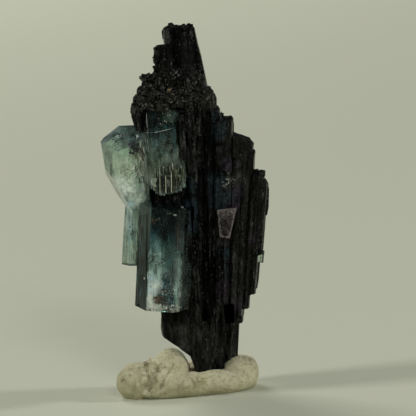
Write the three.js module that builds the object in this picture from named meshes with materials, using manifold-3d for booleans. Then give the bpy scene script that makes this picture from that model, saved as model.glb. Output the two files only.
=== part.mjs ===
// Aquamarine crystals grown on a bundle of black tourmaline (schorl), stood upright in a lump of putty.
// Millimetres, +Z up. The front is the side seen from -Y, with +X to its right. The part rests on z = 0,
// and its origin lies there under the middle of its bounding box.
import * as THREE from "three";
import { ConvexGeometry } from "three/addons/geometries/ConvexGeometry.js";
import { mergeVertices } from "three/addons/utils/BufferGeometryUtils.js";
import Module from "manifold-3d";

const wasm = await Module();
wasm.setup();

// Driving dimensions
const SPIRE_TOP = 52.4; // the flat end of the tallest schorl column
const LEDGE_TOP = 44.2; // the rough ledge over the upper aquamarine
const FOOT_BOTTOM = 1.4; // the schorl's lower end, sunk in the putty
const FIT_GAP = 0.3; // clearance wherever one piece is set in another
const FAN = { x: 1.5, y: 0.5, level: 25, rate: 0.013 }; // the bundle's spread upwards, per millimetre

// A repeatable random sequence between 0 and 1
function sequence(seed) {
  let state = seed >>> 0;
  return () => {
    state = (state + 0x6d2b79f5) >>> 0;
    let t = Math.imul(state ^ (state >>> 15), 1 | state);
    t = (t + Math.imul(t ^ (t >>> 7), 61 | t)) ^ t;
    return ((t ^ (t >>> 14)) >>> 0) / 4294967296;
  };
}

// Three.js geometry to a solid and back
function solidOf(geometry) {
  const bare = geometry.index ? geometry.toNonIndexed() : geometry.clone();
  bare.deleteAttribute("normal");
  bare.deleteAttribute("uv");
  const merged = mergeVertices(bare, 1e-4);
  const mesh = new wasm.Mesh({
    numProp: 3,
    vertProperties: new Float32Array(merged.attributes.position.array),
    triVerts: new Uint32Array(merged.index.array),
  });
  return new wasm.Manifold(mesh);
}

function geometryOf(solid) {
  const mesh = solid.getMesh();
  const geometry = new THREE.BufferGeometry();
  geometry.setAttribute("position", new THREE.BufferAttribute(mesh.vertProperties, 3));
  geometry.setIndex(new THREE.BufferAttribute(mesh.triVerts, 1));
  return geometry;
}

function movePoints(geometry, move) {
  const position = geometry.attributes.position;
  const point = new THREE.Vector3();
  for (let i = 0; i < position.count; i++) {
    point.fromBufferAttribute(position, i);
    move(point);
    position.setXYZ(i, point.x, point.y, point.z);
  }
  return geometry;
}

const joined = (solids) => solids.reduce((whole, solid) => whole.add(solid));
const largest = (solid) => solid.decompose().reduce((a, b) => (b.volume() > a.volume() ? b : a));

// A prism on a closed outline in XY. Its top may lean: a rise per millimetre in x and in y.
function prism(outline, bottom, top, lean = [0, 0]) {
  const shape = new THREE.Shape(outline.map(([x, y]) => new THREE.Vector2(x, y)));
  const geometry = new THREE.ExtrudeGeometry(shape, { depth: 1, bevelEnabled: false });
  const mean = (axis) => outline.reduce((sum, corner) => sum + corner[axis], 0) / outline.length;
  const middle = [mean(0), mean(1)];
  return solidOf(movePoints(geometry, (p) => {
    const rise = lean[0] * (p.x - middle[0]) + lean[1] * (p.y - middle[1]);
    p.z = p.z > 0.5 ? top + rise : bottom;
  }));
}

// A prism on an outline in XZ, from front to back.
function slab(outline, front, back) {
  const shape = new THREE.Shape(outline.map(([x, z]) => new THREE.Vector2(x, z)));
  const geometry = new THREE.ExtrudeGeometry(shape, { depth: back - front, bevelEnabled: false });
  return solidOf(geometry.rotateX(Math.PI / 2).translate(0, back, 0));
}

// The convex solid inside flat faces, each given by its outward direction and a point on it.
function faceted(faces, grow = 0) {
  const planes = faces.map(([direction, point]) => {
    const normal = new THREE.Vector3(...direction).normalize();
    return new THREE.Plane(normal, -normal.dot(new THREE.Vector3(...point)) - grow);
  });
  const corners = [];
  for (const [i, a] of planes.entries()) {
    for (const [j, b] of planes.slice(i + 1).entries()) {
      for (const c of planes.slice(i + j + 2)) {
        const bc = b.normal.clone().cross(c.normal);
        const volume = a.normal.dot(bc);
        if (Math.abs(volume) < 1e-6) continue;
        const corner = bc.multiplyScalar(-a.constant);
        corner.addScaledVector(c.normal.clone().cross(a.normal), -b.constant);
        corner.addScaledVector(a.normal.clone().cross(b.normal), -c.constant);
        corner.divideScalar(volume);
        if (planes.every((plane) => plane.distanceToPoint(corner) < 1e-4)) corners.push(corner);
      }
    }
  }
  return solidOf(new ConvexGeometry(corners));
}

// Schorl: parallel striated columns, grown together. x and y hold each one's sides in the plan at FAN.level,
// z its bottom and top, lean the rise of its top per millimetre in x and y.
const COLUMNS = [
  // The spire, its lip, and the left shoulder
  { x: [0.0, 4.3], y: [-2.3, 2.7], z: [5, SPIRE_TOP], lean: [0.03, -0.02] },
  { x: [-0.5, 1.8], y: [-1.9, 1.9], z: [50.6, SPIRE_TOP + 0.45], lean: [0.12, -0.03] },
  { x: [-0.4, 1.3], y: [-1.6, 2.2], z: [12, 51.4], lean: [0.1, 0.1] },
  { x: [-1.65, 0.6], y: [-2.0, 1.8], z: [15, 50.2], lean: [0.1, 0.05] },
  { x: [-1.2, 1.4], y: [0.6, 3.2], z: [12, 47.8], lean: [0.2, -0.3] },
  { x: [2.2, 4.6], y: [0.2, 3.6], z: [10, 46.6], lean: [-0.2, -0.3] },
  // The rough steps at the left
  { x: [-2.0, 0.2], y: [-2.6, 1.6], z: [14, 47.0], lean: [0.3, 0.1] },
  { x: [-2.7, -0.8], y: [-2.9, 1.9], z: [12, 45.9], lean: [0.3, 0.1] },
  { x: [-3.4, -1.5], y: [-3.4, 1.4], z: [10, 45.1], lean: [0.2, 0.1] },
  { x: [-4.0, -2.0], y: [-3.8, 1.0], z: [9, 44.5], lean: [0.2, 0.1] },
  { x: [-4.7, -3.1], y: [-5.6, -1.2], z: [38.7, 42.6], lean: [0.2, 0.2] },
  // The ledge over the upper aquamarine
  { x: [-3.9, -1.4], y: [-6.2, -1.6], z: [42.0, LEDGE_TOP - 0.4], lean: [0.1, 0.25] },
  { x: [-2.2, -0.2], y: [-6.9, -1.5], z: [41.6, LEDGE_TOP - 0.8], lean: [-0.1, 0.25] },
  { x: [-0.8, 1.5], y: [-6.5, -1.4], z: [42.0, LEDGE_TOP - 0.5], lean: [0.1, 0.25] },
  { x: [1.2, 2.7], y: [-5.9, -1.2], z: [40.0, LEDGE_TOP - 0.9], lean: [-0.1, 0.25] },
  { x: [2.4, 3.8], y: [-5.4, -1.0], z: [38.0, LEDGE_TOP - 0.6], lean: [-0.1, 0.25] },
  // The steps down to the right
  { x: [3.4, 4.9], y: [-4.4, 2.0], z: [4, 43.5], lean: [0, 0.05] },
  { x: [4.3, 5.6], y: [-3.6, 2.4], z: [4, 41.1], lean: [-0.6, 0.05] },
  { x: [5.3, 7.25], y: [-3.9, 2.2], z: [5, 39.4], lean: [0, 0.02] },
  { x: [6.9, 9.9], y: [-3.0, 2.8], z: [9.6, 36.3], lean: [-0.5, 0.05] },
  { x: [8.6, 10.2], y: [-2.2, 1.9], z: [12, 34.4], lean: [-0.1, 0.1] },
  { x: [9.4, 11.3], y: [-2.3, 2.6], z: [13.6, 31.2], lean: [-0.2, 0.05] },
  { x: [10.6, 12.35], y: [-1.9, 1.7], z: [19.3, 30.4], lean: [-1.3, 0.05] },
  { x: [10.2, 11.8], y: [-1.8, 2.2], z: [13.6, 26], lean: [0, 0] },
  { x: [9.2, 10.8], y: [-2.2, 2.0], z: [11.6, 30], lean: [0, 0] },
  { x: [8.2, 9.9], y: [-2.7, 2.4], z: [10.3, 30], lean: [0, 0] },
  // The front beside the aquamarines
  { x: [0.1, 1.5], y: [-6.4, -1.0], z: [34.3, 42.6], lean: [0, 0.3] },
  { x: [0.3, 1.7], y: [-7.2, -1.0], z: [19.8, 29.4], lean: [-0.4, 0.5] },
  { x: [-0.2, 1.4], y: [-4.6, -1.0], z: [6, 40], lean: [0, 0] },
  { x: [1.2, 2.6], y: [-6.0, -1.0], z: [22.6, 42.5], lean: [0, 0.3] },
  { x: [1.1, 2.7], y: [-5.1, -1.0], z: [5, 30], lean: [0, 0] },
  { x: [2.3, 3.9], y: [-4.3, -1.0], z: [4, 42], lean: [0, 0.2] },
  { x: [2.6, 3.6], y: [-5.2, -2.0], z: [33.8, 42.8], lean: [0, 0.5] },
  { x: [3.6, 4.7], y: [-5.7, -1.0], z: [9, 42.2], lean: [0.2, 0.6] },
  { x: [4.6, 5.8], y: [-5.0, -1.0], z: [36.4, 40.6], lean: [-0.3, 0.6] },
  { x: [4.6, 5.9], y: [-4.2, -1.0], z: [4, 37], lean: [0, 0] },
  { x: [4.65, 5.85], y: [-5.4, -1.0], z: [12.8, 32.0], lean: [0, 0.2] },
  { x: [5.7, 7.3], y: [-4.7, -1.0], z: [8.9, 34.2], lean: [0.1, 0.5] },
  { x: [7.1, 8.5], y: [-4.2, -1.0], z: [9.4, 34.0], lean: [-0.1, 0.5] },
  { x: [8.2, 9.6], y: [-3.4, -0.5], z: [10.8, 32.2], lean: [-0.3, 0.5] },
  // The left flank behind the aquamarines, and its broken lower end
  { x: [-4.4, -1.0], y: [-3.4, 2.8], z: [6, 42.4], lean: [0.1, 0.1] },
  { x: [-3.6, 1.2], y: [-5.9, 0.5], z: [26.3, 31.3], lean: [0, 0] },
  { x: [-5.2, -1.2], y: [-3.9, 1.6], z: [5, 24], lean: [0.1, 0.1] },
  { x: [-2.6, 1.6], y: [-4.6, 1.5], z: [3, 22], lean: [0, 0.1] },
  // The back
  { x: [-4.2, -1.2], y: [1.2, 4.4], z: [9.4, 39.0], lean: [0.3, -0.3] },
  { x: [-2.4, 1.0], y: [2.0, 5.9], z: [6, 42.4], lean: [0.1, -0.3] },
  { x: [0.2, 3.2], y: [2.2, 6.5], z: [5, 40.4], lean: [0.05, -0.25] },
  { x: [2.6, 5.6], y: [1.6, 6.1], z: [4, 38.2], lean: [-0.1, -0.2] },
  { x: [5.0, 7.8], y: [1.2, 5.2], z: [6, 35.4], lean: [-0.2, -0.3] },
  { x: [7.2, 9.8], y: [1.2, 4.6], z: [11.5, 32.0], lean: [-0.3, -0.3] },
  { x: [9.0, 11.2], y: [0.9, 3.8], z: [15.2, 28.8], lean: [-0.3, -0.4] },
  { x: [-0.8, 1.6], y: [5.0, 7.2], z: [9, 31.8], lean: [0, -0.4] },
  { x: [1.8, 4.4], y: [5.2, 7.5], z: [7.5, 34.5], lean: [0.1, -0.4] },
  { x: [4.2, 6.4], y: [4.6, 6.7], z: [10.5, 29.0], lean: [-0.1, -0.4] },
  { x: [-3.2, -1.0], y: [4.0, 6.2], z: [12, 29.8], lean: [0.2, -0.3] },
  // The foot
  { x: [0.7, 5.3], y: [-4.5, 2.2], z: [FOOT_BOTTOM, 16], lean: [0, 0] },
  { x: [5.0, 7.0], y: [-3.9, 2.4], z: [1.6, 16], lean: [0, 0] },
  { x: [6.2, 8.9], y: [-3.1, 2.6], z: [1.9, 14], lean: [0, 0] },
  // The crust that closes the ledge
  { x: [-4.2, 3.6], y: [-5.9, -1.5], z: [42.0, LEDGE_TOP - 0.7], lean: [0, 0.22] },
];
const RIBS_PER_COLUMN = 3;

// A column's section: flat sides with cut corners, and shallow grooves down them.
function section({ x, y }, random) {
  const sides = x[1] - x[0] > 2.4 ? 16 : 12;
  const [wide, deep] = [(x[1] - x[0]) / 2, (y[1] - y[0]) / 2];
  return Array.from({ length: sides }, (_, i) => {
    const angle = ((i + 0.6 * random()) / sides) * 2 * Math.PI;
    const [c, s] = [Math.cos(angle), Math.sin(angle)];
    const square = (Math.abs(c) ** 3.4 + Math.abs(s) ** 3.4) ** (-1 / 3.4);
    const groove = i % 2 ? 0.93 : 1;
    const reach = square * (groove - 0.04 * random());
    return [(x[0] + x[1]) / 2 + wide * reach * c, (y[0] + y[1]) / 2 + deep * reach * s];
  });
}

// Narrow ribs that stand out of a column's sides over part of its length, with slanting ends.
function ribs({ z }, outline, random) {
  return Array.from({ length: RIBS_PER_COLUMN }, () => {
    const [x, y] = outline[Math.floor(random() * outline.length)];
    const radius = 0.22 + 0.24 * random();
    const from = z[0] + (z[1] - z[0]) * 0.55 * random();
    const to = Math.max(z[1] - 0.6 - (z[1] - z[0]) * 0.4 * random(), from + 1.5);
    const turn = random() * Math.PI;
    const corners = [0, 1, 2, 3, 4].map((i) => {
      const angle = turn + (i / 5) * 2 * Math.PI;
      return [x + radius * Math.cos(angle), y + radius * Math.sin(angle)];
    });
    return prism(corners, from, to, [2.4 * random() - 1.2, 1.2 * random()]);
  });
}

function fanned(solid) {
  return solidOf(movePoints(geometryOf(solid), (p) => {
    const spread = 1 + FAN.rate * (p.z - FAN.level);
    p.x = FAN.x + (p.x - FAN.x) * spread;
    p.y = FAN.y + (p.y - FAN.y) * spread;
  }));
}

// Etched grains on the rough shoulder, ledge and column ends: each patch's middle, half spread and number.
const GRAIN_PATCHES = [
  { at: [-2.4, -1.4, 45.2], spread: [1.9, 2.2, 0.9], count: 24 },
  { at: [-2.4, -5.2, 43.3], spread: [3.0, 2.2, 0.7], count: 26 },
  { at: [2.2, -4.8, 43.4], spread: [2.2, 2.0, 0.7], count: 14 },
  { at: [-1.2, -0.6, 48.2], spread: [1.2, 1.6, 1.6], count: 12 },
  { at: [-5.5, -2.6, 41.6], spread: [0.4, 1.3, 1.2], count: 8 },
  { at: [11.2, 0.2, 31.2], spread: [0.9, 1.8, 0.4], count: 9 },
  { at: [1.3, 0.2, 52.6], spread: [1.7, 1.7, 0.3], count: 5 },
];

function grains(random) {
  return GRAIN_PATCHES.flatMap(({ at, spread, count }) => Array.from({ length: count }, () => {
    const [wide, deep, high] = [0.5 + 0.5 * random(), 0.5 + 0.5 * random(), 0.4 + 0.5 * random()];
    const tilt = new THREE.Euler(0.8 * random() - 0.4, 0.8 * random() - 0.4, Math.PI * random());
    const place = at.map((middle, i) => middle + spread[i] * (2 * random() - 1));
    const turn = new THREE.Matrix4().makeRotationFromEuler(tilt);
    return solidOf(new THREE.BoxGeometry(wide, deep, high).applyMatrix4(turn).translate(...place));
  }));
}

// Where the bundle is broken off or split: outlines in XZ, cut between front and back.
const BREAKS = [
  {
    outline: [
      [-12, 19.4], [-5.7, 19.0], [-3.9, 16.4], [-3.55, 11.4], [-3.75, 9.5], [-3.6, 8.4],
      [-1.1, 6.5], [0.3, 5.4], [1.05, 2.9], [1.2, -1], [-12, -1],
    ],
    y: [-12, 12],
  },
  {
    outline: [[3.3, 55], [3.36, 52.6], [3.8, 50], [4.15, 48.4], [4.85, 43.7], [9, 43.7], [9, 55]],
    y: [-12, 12],
  },
  { outline: [[5.55, 9.9], [7.0, 9.9], [7.0, 12.7], [5.55, 12.7]], y: [-12, -2.6] },
  { outline: [[2.45, 10.4], [3.15, 10.4], [3.15, 12.3], [2.45, 12.3]], y: [-12, -3.2] },
];

function buildSchorl(pockets) {
  const random = sequence(71);
  const columns = COLUMNS.flatMap((column) => {
    const outline = section(column, random);
    return [prism(outline, ...column.z, column.lean), ...ribs(column, outline, random)];
  });
  const bundle = joined([fanned(joined(columns)), ...grains(random)]);
  const cuts = BREAKS.map(({ outline, y }) => slab(outline, ...y));
  return largest([...cuts, ...pockets].reduce((rest, cut) => rest.subtract(cut), bundle));
}

// Aquamarine. A six-sided prism: middles of its lower and upper ends, middle-to-corner radius,
// the first corner's angle in degrees, and any further faces that bevel its ends.
function hexagonal({ base, head, radius, turn, bevels = [] }, grow = 0) {
  const from = new THREE.Vector3(...base);
  const axis = new THREE.Vector3(...head).sub(from).normalize();
  const side = new THREE.Vector3(1, 0, 0).addScaledVector(axis, -axis.x).normalize();
  const deep = axis.clone().cross(side);
  const faces = [[axis.toArray(), head], [axis.clone().negate().toArray(), base]];
  for (let i = 0; i < 6; i++) {
    const angle = THREE.MathUtils.degToRad(turn + 30 + 60 * i);
    const normal = side.clone().multiplyScalar(Math.cos(angle)).addScaledVector(deep, Math.sin(angle));
    const reach = radius * Math.cos(Math.PI / 6);
    faces.push([normal.toArray(), from.clone().addScaledVector(normal, reach).toArray()]);
  }
  return faceted([...faces, ...bevels], grow);
}

const LOWER = { base: [-3.35, -4.9, 12.95], head: [-1.85, -5.6, 27.9], radius: 3.95, turn: -6 };
const UPPER = {
  base: [-2.35, -4.7, 28.9],
  head: [-1.65, -4.6, 41.9],
  radius: 3.8,
  turn: -3,
  bevels: [
    [[0.2, -0.05, -0.98], [-1.5, -8, 29.9]],
    [[-0.72, -0.1, -0.69], [-3.4, -7.6, 30.2]],
    [[0.78, -0.05, -0.61], [0.35, -7.5, 30.65]],
  ],
};
const BACK = { base: [-7.55, 0.4, 18.7], head: [-6.1, 0.0, 31.5], radius: 1.45, turn: 20 };
const SMALL = { base: [11.12, -1.2, 18.2], head: [11.4, -1.05, 19.95], radius: 0.45, turn: 10 };

// The stout left crystal, face by face: outward direction, then a point on the face.
const LEFT = [
  [[-0.99, -0.05, -0.1], [-10.7, -2.6, 35]],
  [[-0.86, -0.2, -0.46], [-9.3, -2.6, 30.6]],
  [[-0.5, -0.1, -0.86], [-7.6, -2.6, 27.5]],
  [[0.05, -0.12, -1], [-6, -2.6, 26.8]],
  [[-0.6, -0.2, 0.78], [-9.55, -2.6, 37.75]],
  [[0.14, -0.15, 0.98], [-7, -2.6, 38.75]],
  [[-0.22, -0.97, -0.06], [-7.6, -6.0, 34]],
  [[-0.1, -0.86, -0.5], [-6.8, -5.75, 29.5]],
  [[-0.8, -0.6, 0.02], [-10.2, -4.4, 35]],
  [[-0.4, -0.65, 0.65], [-8.6, -4.9, 36.9]],
  [[-0.25, 0.95, 0.1], [-7, 1.0, 33]],
  [[-0.75, 0.65, -0.1], [-9.8, -0.5, 34]],
  [[-0.3, 0.75, -0.6], [-7, 0.2, 28.8]],
  [[-0.3, 0.7, 0.6], [-7.4, 0.3, 37.8]],
  [[1, 0, 0], [-4.3, -2, 33]],
];

// The pale flake let into the front: its outline in XZ, and its front and back.
const FLAKE = { outline: [[5.25, 26.7], [5.45, 22.85], [6.85, 22.55], [8.1, 26.9]], y: [-5.75, -5.15] };

function flakePocket() {
  const [left, low, lowRight, right] = FLAKE.outline;
  const wider = [
    [left[0] - FIT_GAP, left[1] + FIT_GAP],
    [low[0] - FIT_GAP, low[1] - FIT_GAP],
    [lowRight[0] + FIT_GAP, lowRight[1] - FIT_GAP],
    [right[0] + FIT_GAP, right[1] + FIT_GAP],
  ];
  return slab(wider, FLAKE.y[0] - 2, FLAKE.y[1] + FIT_GAP);
}

// Putty: lobes pressed together. Middle, half sizes, and turn about Z in degrees.
const LOBES = [
  { at: [-7.3, -4.2, 2.1], half: [3.2, 3.2, 2.9], turn: 20 },
  { at: [-4.9, -4.5, 2.2], half: [2.5, 2.9, 3.1], turn: -10 },
  { at: [-2.6, -2.4, 3.0], half: [2.7, 3.2, 3.6], turn: -15 },
  { at: [-2.0, -4.9, 1.4], half: [6.2, 2.9, 2.2], turn: 4 },
  { at: [3.6, -3.4, 1.2], half: [5.2, 2.8, 2.0], turn: 14 },
  { at: [7.3, -0.2, 1.9], half: [2.8, 4.0, 3.0], turn: -12 },
  { at: [3.4, 2.8, 1.4], half: [6.0, 3.0, 2.6], turn: -8 },
  { at: [-2.4, 1.4, 1.3], half: [5.4, 3.6, 2.5], turn: 24 },
  { at: [2.6, -0.4, 0.6], half: [5.6, 4.6, 1.7], turn: 0 },
];
const LOBE_GRID = [14, 8]; // facets round a lobe and from its bottom to its top

function lobe({ at, half, turn }, random) {
  const ball = new THREE.SphereGeometry(1, ...LOBE_GRID);
  const phase = [0, 1, 2].map(() => 2 * Math.PI * random());
  movePoints(ball, (p) => {
    const ripples = [3 * p.x, 3 * p.y, 2.4 * p.z].map((turn, i) => Math.sin(turn + phase[i]));
    p.multiplyScalar(1 + 0.07 * ripples[0] * ripples[1] * ripples[2]).multiply(new THREE.Vector3(...half));
  });
  return solidOf(ball.rotateZ(THREE.MathUtils.degToRad(turn)).translate(...at));
}

// The putty, cut flat underneath, with a socket round the schorl's foot.
function buildPutty(schorl) {
  const random = sequence(9);
  const lump = joined(LOBES.map((each) => lobe(each, random)));
  const below = solidOf(new THREE.BoxGeometry(60, 60, 20).translate(0, 0, -10));
  const sunkPart = schorl.intersect(solidOf(new THREE.BoxGeometry(60, 60, 16)));
  const foot = geometryOf(sunkPart).attributes.position;
  const points = [];
  for (let i = 0; i < foot.count; i++) {
    for (const away of [[1, 0, 0], [-1, 0, 0], [0, 1, 0], [0, -1, 0], [0, 0, 1], [0, 0, -1]]) {
      const offset = new THREE.Vector3(...away).multiplyScalar(1.3 * FIT_GAP);
      points.push(new THREE.Vector3().fromBufferAttribute(foot, i).add(offset));
    }
  }
  return largest(lump.subtract(below).subtract(solidOf(new ConvexGeometry(points))));
}

// The left and upper crystals are grown into each other. The others stop just short of their neighbours.
const lower = hexagonal(LOWER);
const pair = faceted(LEFT).add(hexagonal(UPPER)).subtract(hexagonal(LOWER, FIT_GAP));
const back = hexagonal(BACK).subtract(faceted(LEFT, FIT_GAP)).subtract(hexagonal(LOWER, FIT_GAP));
const small = hexagonal(SMALL);
const flake = slab(FLAKE.outline, ...FLAKE.y);

const pockets = [LOWER, UPPER, BACK, SMALL].map((crystal) => hexagonal(crystal, FIT_GAP));
pockets.push(faceted(LEFT, FIT_GAP), flakePocket());
const schorl = buildSchorl(pockets);
const putty = buildPutty(schorl);

const black = new THREE.MeshStandardMaterial({ color: 0x0b0c0a, roughness: 0.32, metalness: 0 });
const seaGreen = new THREE.MeshStandardMaterial({ color: 0x9fc4bd, roughness: 0.05, metalness: 0 });
const lilacGrey = new THREE.MeshStandardMaterial({ color: 0x6f6769, roughness: 0.4, metalness: 0 });
const cream = new THREE.MeshStandardMaterial({ color: 0xb8b08c, roughness: 0.8, metalness: 0 });
seaGreen.transparent = true;
seaGreen.opacity = 0.5;

const specimen = new THREE.Group();
function addPiece(name, solid, material) {
  const mesh = new THREE.Mesh(geometryOf(largest(solid)), material);
  mesh.name = name;
  specimen.add(mesh);
}
addPiece("schorl_bundle", schorl, black);
addPiece("aquamarine_upper_pair", pair, seaGreen);
addPiece("aquamarine_lower", lower, seaGreen);
addPiece("aquamarine_back", back, seaGreen);
addPiece("aquamarine_small", small, seaGreen);
addPiece("pale_flake", flake, lilacGrey);
addPiece("putty_base", putty, cream);

// Brings the middle of the bounding box over the origin.
const middle = new THREE.Box3().setFromObject(specimen).getCenter(new THREE.Vector3());
for (const mesh of specimen.children) mesh.position.set(-middle.x, -middle.y, 0);

export default specimen;
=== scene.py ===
# Aquamarine crystals on black schorl, stood in mineral putty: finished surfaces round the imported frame.
import math

import bmesh
import bpy
import numpy as np
from mathutils import Matrix, Vector, noise


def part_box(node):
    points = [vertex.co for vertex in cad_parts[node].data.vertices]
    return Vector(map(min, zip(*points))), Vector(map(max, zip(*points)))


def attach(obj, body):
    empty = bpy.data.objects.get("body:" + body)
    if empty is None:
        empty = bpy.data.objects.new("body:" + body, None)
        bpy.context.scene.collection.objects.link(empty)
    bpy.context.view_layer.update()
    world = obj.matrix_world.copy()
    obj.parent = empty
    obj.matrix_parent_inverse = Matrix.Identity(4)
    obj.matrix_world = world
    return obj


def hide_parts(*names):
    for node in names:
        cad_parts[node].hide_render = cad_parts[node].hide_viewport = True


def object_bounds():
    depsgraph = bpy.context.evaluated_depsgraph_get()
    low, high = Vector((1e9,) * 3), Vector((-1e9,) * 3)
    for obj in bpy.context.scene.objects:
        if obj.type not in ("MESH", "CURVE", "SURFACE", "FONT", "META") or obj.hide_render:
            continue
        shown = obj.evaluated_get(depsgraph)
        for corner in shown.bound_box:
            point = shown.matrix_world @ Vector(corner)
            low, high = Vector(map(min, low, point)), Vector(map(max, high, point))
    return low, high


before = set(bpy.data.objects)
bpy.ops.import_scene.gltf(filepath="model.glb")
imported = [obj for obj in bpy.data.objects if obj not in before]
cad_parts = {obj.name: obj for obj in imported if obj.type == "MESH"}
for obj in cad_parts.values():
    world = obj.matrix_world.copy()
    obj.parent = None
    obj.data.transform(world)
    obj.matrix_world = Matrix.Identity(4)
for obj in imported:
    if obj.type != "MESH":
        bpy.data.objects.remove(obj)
cad_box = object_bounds()

MM = 0.001
# The model is laid out in millimetres before the part is centred. The flake's corner shows the move.
FLAKE = {"outline": [(5.25, 26.7), (5.45, 22.85), (6.85, 22.55), (8.1, 26.9)], "y": (-5.75, -5.15)}
flake_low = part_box("pale_flake")[0]
SHIFT = np.array([flake_low.x / MM - FLAKE["outline"][0][0], flake_low.y / MM - FLAKE["y"][0], 0.0])

# Camera: a long lens that looks down a little. Lengths are in millimetres, places in the frame in pixels.
PIXEL = 0.145
FRAME = 416
ELEVATION = math.radians(7.5)
ROLL = math.radians(3.0)
DISTANCE = 800.0
ORIGIN_PIXEL = (190.0, 389.5)
SENSOR = 36.0


def make_camera():
    right = Vector((1, 0, 0))
    up = Vector((0, math.sin(ELEVATION), math.cos(ELEVATION)))
    back = Vector((0, -math.cos(ELEVATION), math.sin(ELEVATION)))
    across = right * math.cos(ROLL) - up * math.sin(ROLL)
    upward = right * math.sin(ROLL) + up * math.cos(ROLL)
    half = FRAME / 2
    to_middle = across * (half - ORIGIN_PIXEL[0]) * PIXEL + upward * (ORIGIN_PIXEL[1] - half) * PIXEL
    target = to_middle + Vector(SHIFT)
    camera = bpy.data.cameras.new("camera")
    camera.sensor_width = SENSOR
    camera.lens = SENSOR * DISTANCE / (FRAME * PIXEL)
    camera.clip_start, camera.clip_end = 0.01, 20.0
    obj = bpy.data.objects.new("camera", camera)
    turn = Matrix((across, upward, back)).transposed().to_4x4()
    obj.matrix_world = Matrix.Translation((target + back * DISTANCE) * MM) @ turn
    bpy.context.scene.collection.objects.link(obj)
    bpy.context.scene.camera = obj


make_camera()


# Small tools
def seen(px, py, y):
    """The layout point, in millimetres, that the camera sees at a place in its frame, at depth y."""
    u, v = (px - ORIGIN_PIXEL[0]) * PIXEL, (ORIGIN_PIXEL[1] - py) * PIXEL
    x = u * math.cos(ROLL) + v * math.sin(ROLL)
    rise = v * math.cos(ROLL) - u * math.sin(ROLL)
    return np.array([x, y, (rise - y * math.sin(ELEVATION)) / math.cos(ELEVATION)])


def sequence(seed):
    """The same repeatable numbers between 0 and 1 as the CAD source uses."""
    state = seed & 0xFFFFFFFF

    def step():
        nonlocal state
        state = (state + 0x6D2B79F5) & 0xFFFFFFFF
        t = ((state ^ (state >> 15)) * (1 | state)) & 0xFFFFFFFF
        t = ((t + (((t ^ (t >> 7)) * (61 | t)) & 0xFFFFFFFF)) & 0xFFFFFFFF) ^ t
        return ((t ^ (t >> 14)) & 0xFFFFFFFF) / 4294967296

    return step


def joined(parts):
    """One array of points and one list of faces from parts that start with their own."""
    points, every_face, start = [], [], 0
    for verts, faces, *_ in parts:
        points.append(verts)
        every_face += [tuple(i + start for i in face) for face in faces]
        start += len(verts)
    return np.vstack(points), every_face


def add_object(name, verts, faces, material, body="root", inside=()):
    """A mesh object from layout millimetres. inside holds more (verts, faces, material, fade)."""
    verts = np.asarray(verts, float).reshape(-1, 3)
    parts = [(verts, faces, material, np.ones(len(verts))), *inside]
    materials = list(dict.fromkeys(part[2] for part in parts))
    kinds = [materials.index(part[2]) for part in parts for _ in part[1]]
    points, every_face = joined(parts)
    mesh = bpy.data.meshes.new(name)
    mesh.from_pydata(((points + SHIFT) * MM).tolist(), [], every_face)
    for kind in materials:
        mesh.materials.append(kind)
    mesh.polygons.foreach_set("material_index", kinds)
    if inside:
        fade = mesh.attributes.new("fade", "FLOAT", "POINT")
        fade.data.foreach_set("value", np.concatenate([part[3] for part in parts]))
    mesh.validate()
    obj = bpy.data.objects.new(name, mesh)
    bpy.context.scene.collection.objects.link(obj)
    if body:
        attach(obj, body)
    return obj


BLANK = bpy.data.materials.new("blank")


def temporary(name, verts, faces):
    """A hidden object that cuts or joins others, with its box."""
    obj = add_object(name, verts, faces, BLANK, None)
    obj.hide_render = True
    return obj, (verts.min(0), verts.max(0))


def evaluated(obj):
    """The object's mesh with its modifiers applied; the object itself is removed."""
    graph = bpy.context.evaluated_depsgraph_get()
    mesh = bpy.data.meshes.new_from_object(obj.evaluated_get(graph))
    bpy.data.objects.remove(obj)
    return mesh


def boolean(verts, faces, cutters, operation="DIFFERENCE"):
    """Cuts or joins closed meshes, given and returned in layout millimetres."""
    obj = add_object("work", verts, faces, BLANK, None)
    for cutter in cutters:
        change = obj.modifiers.new("cut", "BOOLEAN")
        change.operation = operation
        change.solver = "MANIFOLD"
        change.object = cutter
    bpy.context.view_layer.update()
    mesh = evaluated(obj)
    points = np.empty(len(mesh.vertices) * 3)
    mesh.vertices.foreach_get("co", points)
    return points.reshape(-1, 3) / MM - SHIFT, [tuple(p.vertices) for p in mesh.polygons]


def cut_away(bm, place, normal):
    """Cuts off what lies past a plane and closes the cut."""
    every = bm.verts[:] + bm.edges[:] + bm.faces[:]
    cut = bmesh.ops.bisect_plane(bm, geom=every, plane_co=place, plane_no=normal, clear_outer=True)
    rim = [e for e in cut["geom_cut"] if isinstance(e, bmesh.types.BMEdge)]
    bmesh.ops.edgeloop_fill(bm, edges=rim)


def taken(bm):
    """The points and faces of a bmesh, which is freed."""
    bm.verts.index_update()
    verts = np.array([v.co for v in bm.verts])
    faces = [tuple(v.index for v in f.verts) for f in bm.faces]
    bm.free()
    return verts, faces


def grid_faces(cells):
    """The faces of a closed slab whose front and back are square grids of points."""
    side = cells + 1
    count = side * side
    faces = []
    for r in range(cells):
        for c in range(cells):
            a, b = r * side + c, (r + 1) * side + c
            faces += [(b, b + 1, a + 1, a), (count + a, count + a + 1, count + b + 1, count + b)]
    for k in range(cells):
        for a, b in ((k, k + 1), (cells * side + k + 1, cells * side + k),
                     ((k + 1) * side, k * side), (k * side + cells, (k + 1) * side + cells)):
            faces.append((a, b, count + b, count + a))
    return faces


# Materials
def rgba(colour):
    """A colour given as three numbers gets its fourth; anything else is returned as it is."""
    return (*colour, 1) if isinstance(colour, tuple) and len(colour) == 3 else colour


def darker(colour, share):
    """The same colour with a share of its light."""
    return tuple(c * share for c in colour)


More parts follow.
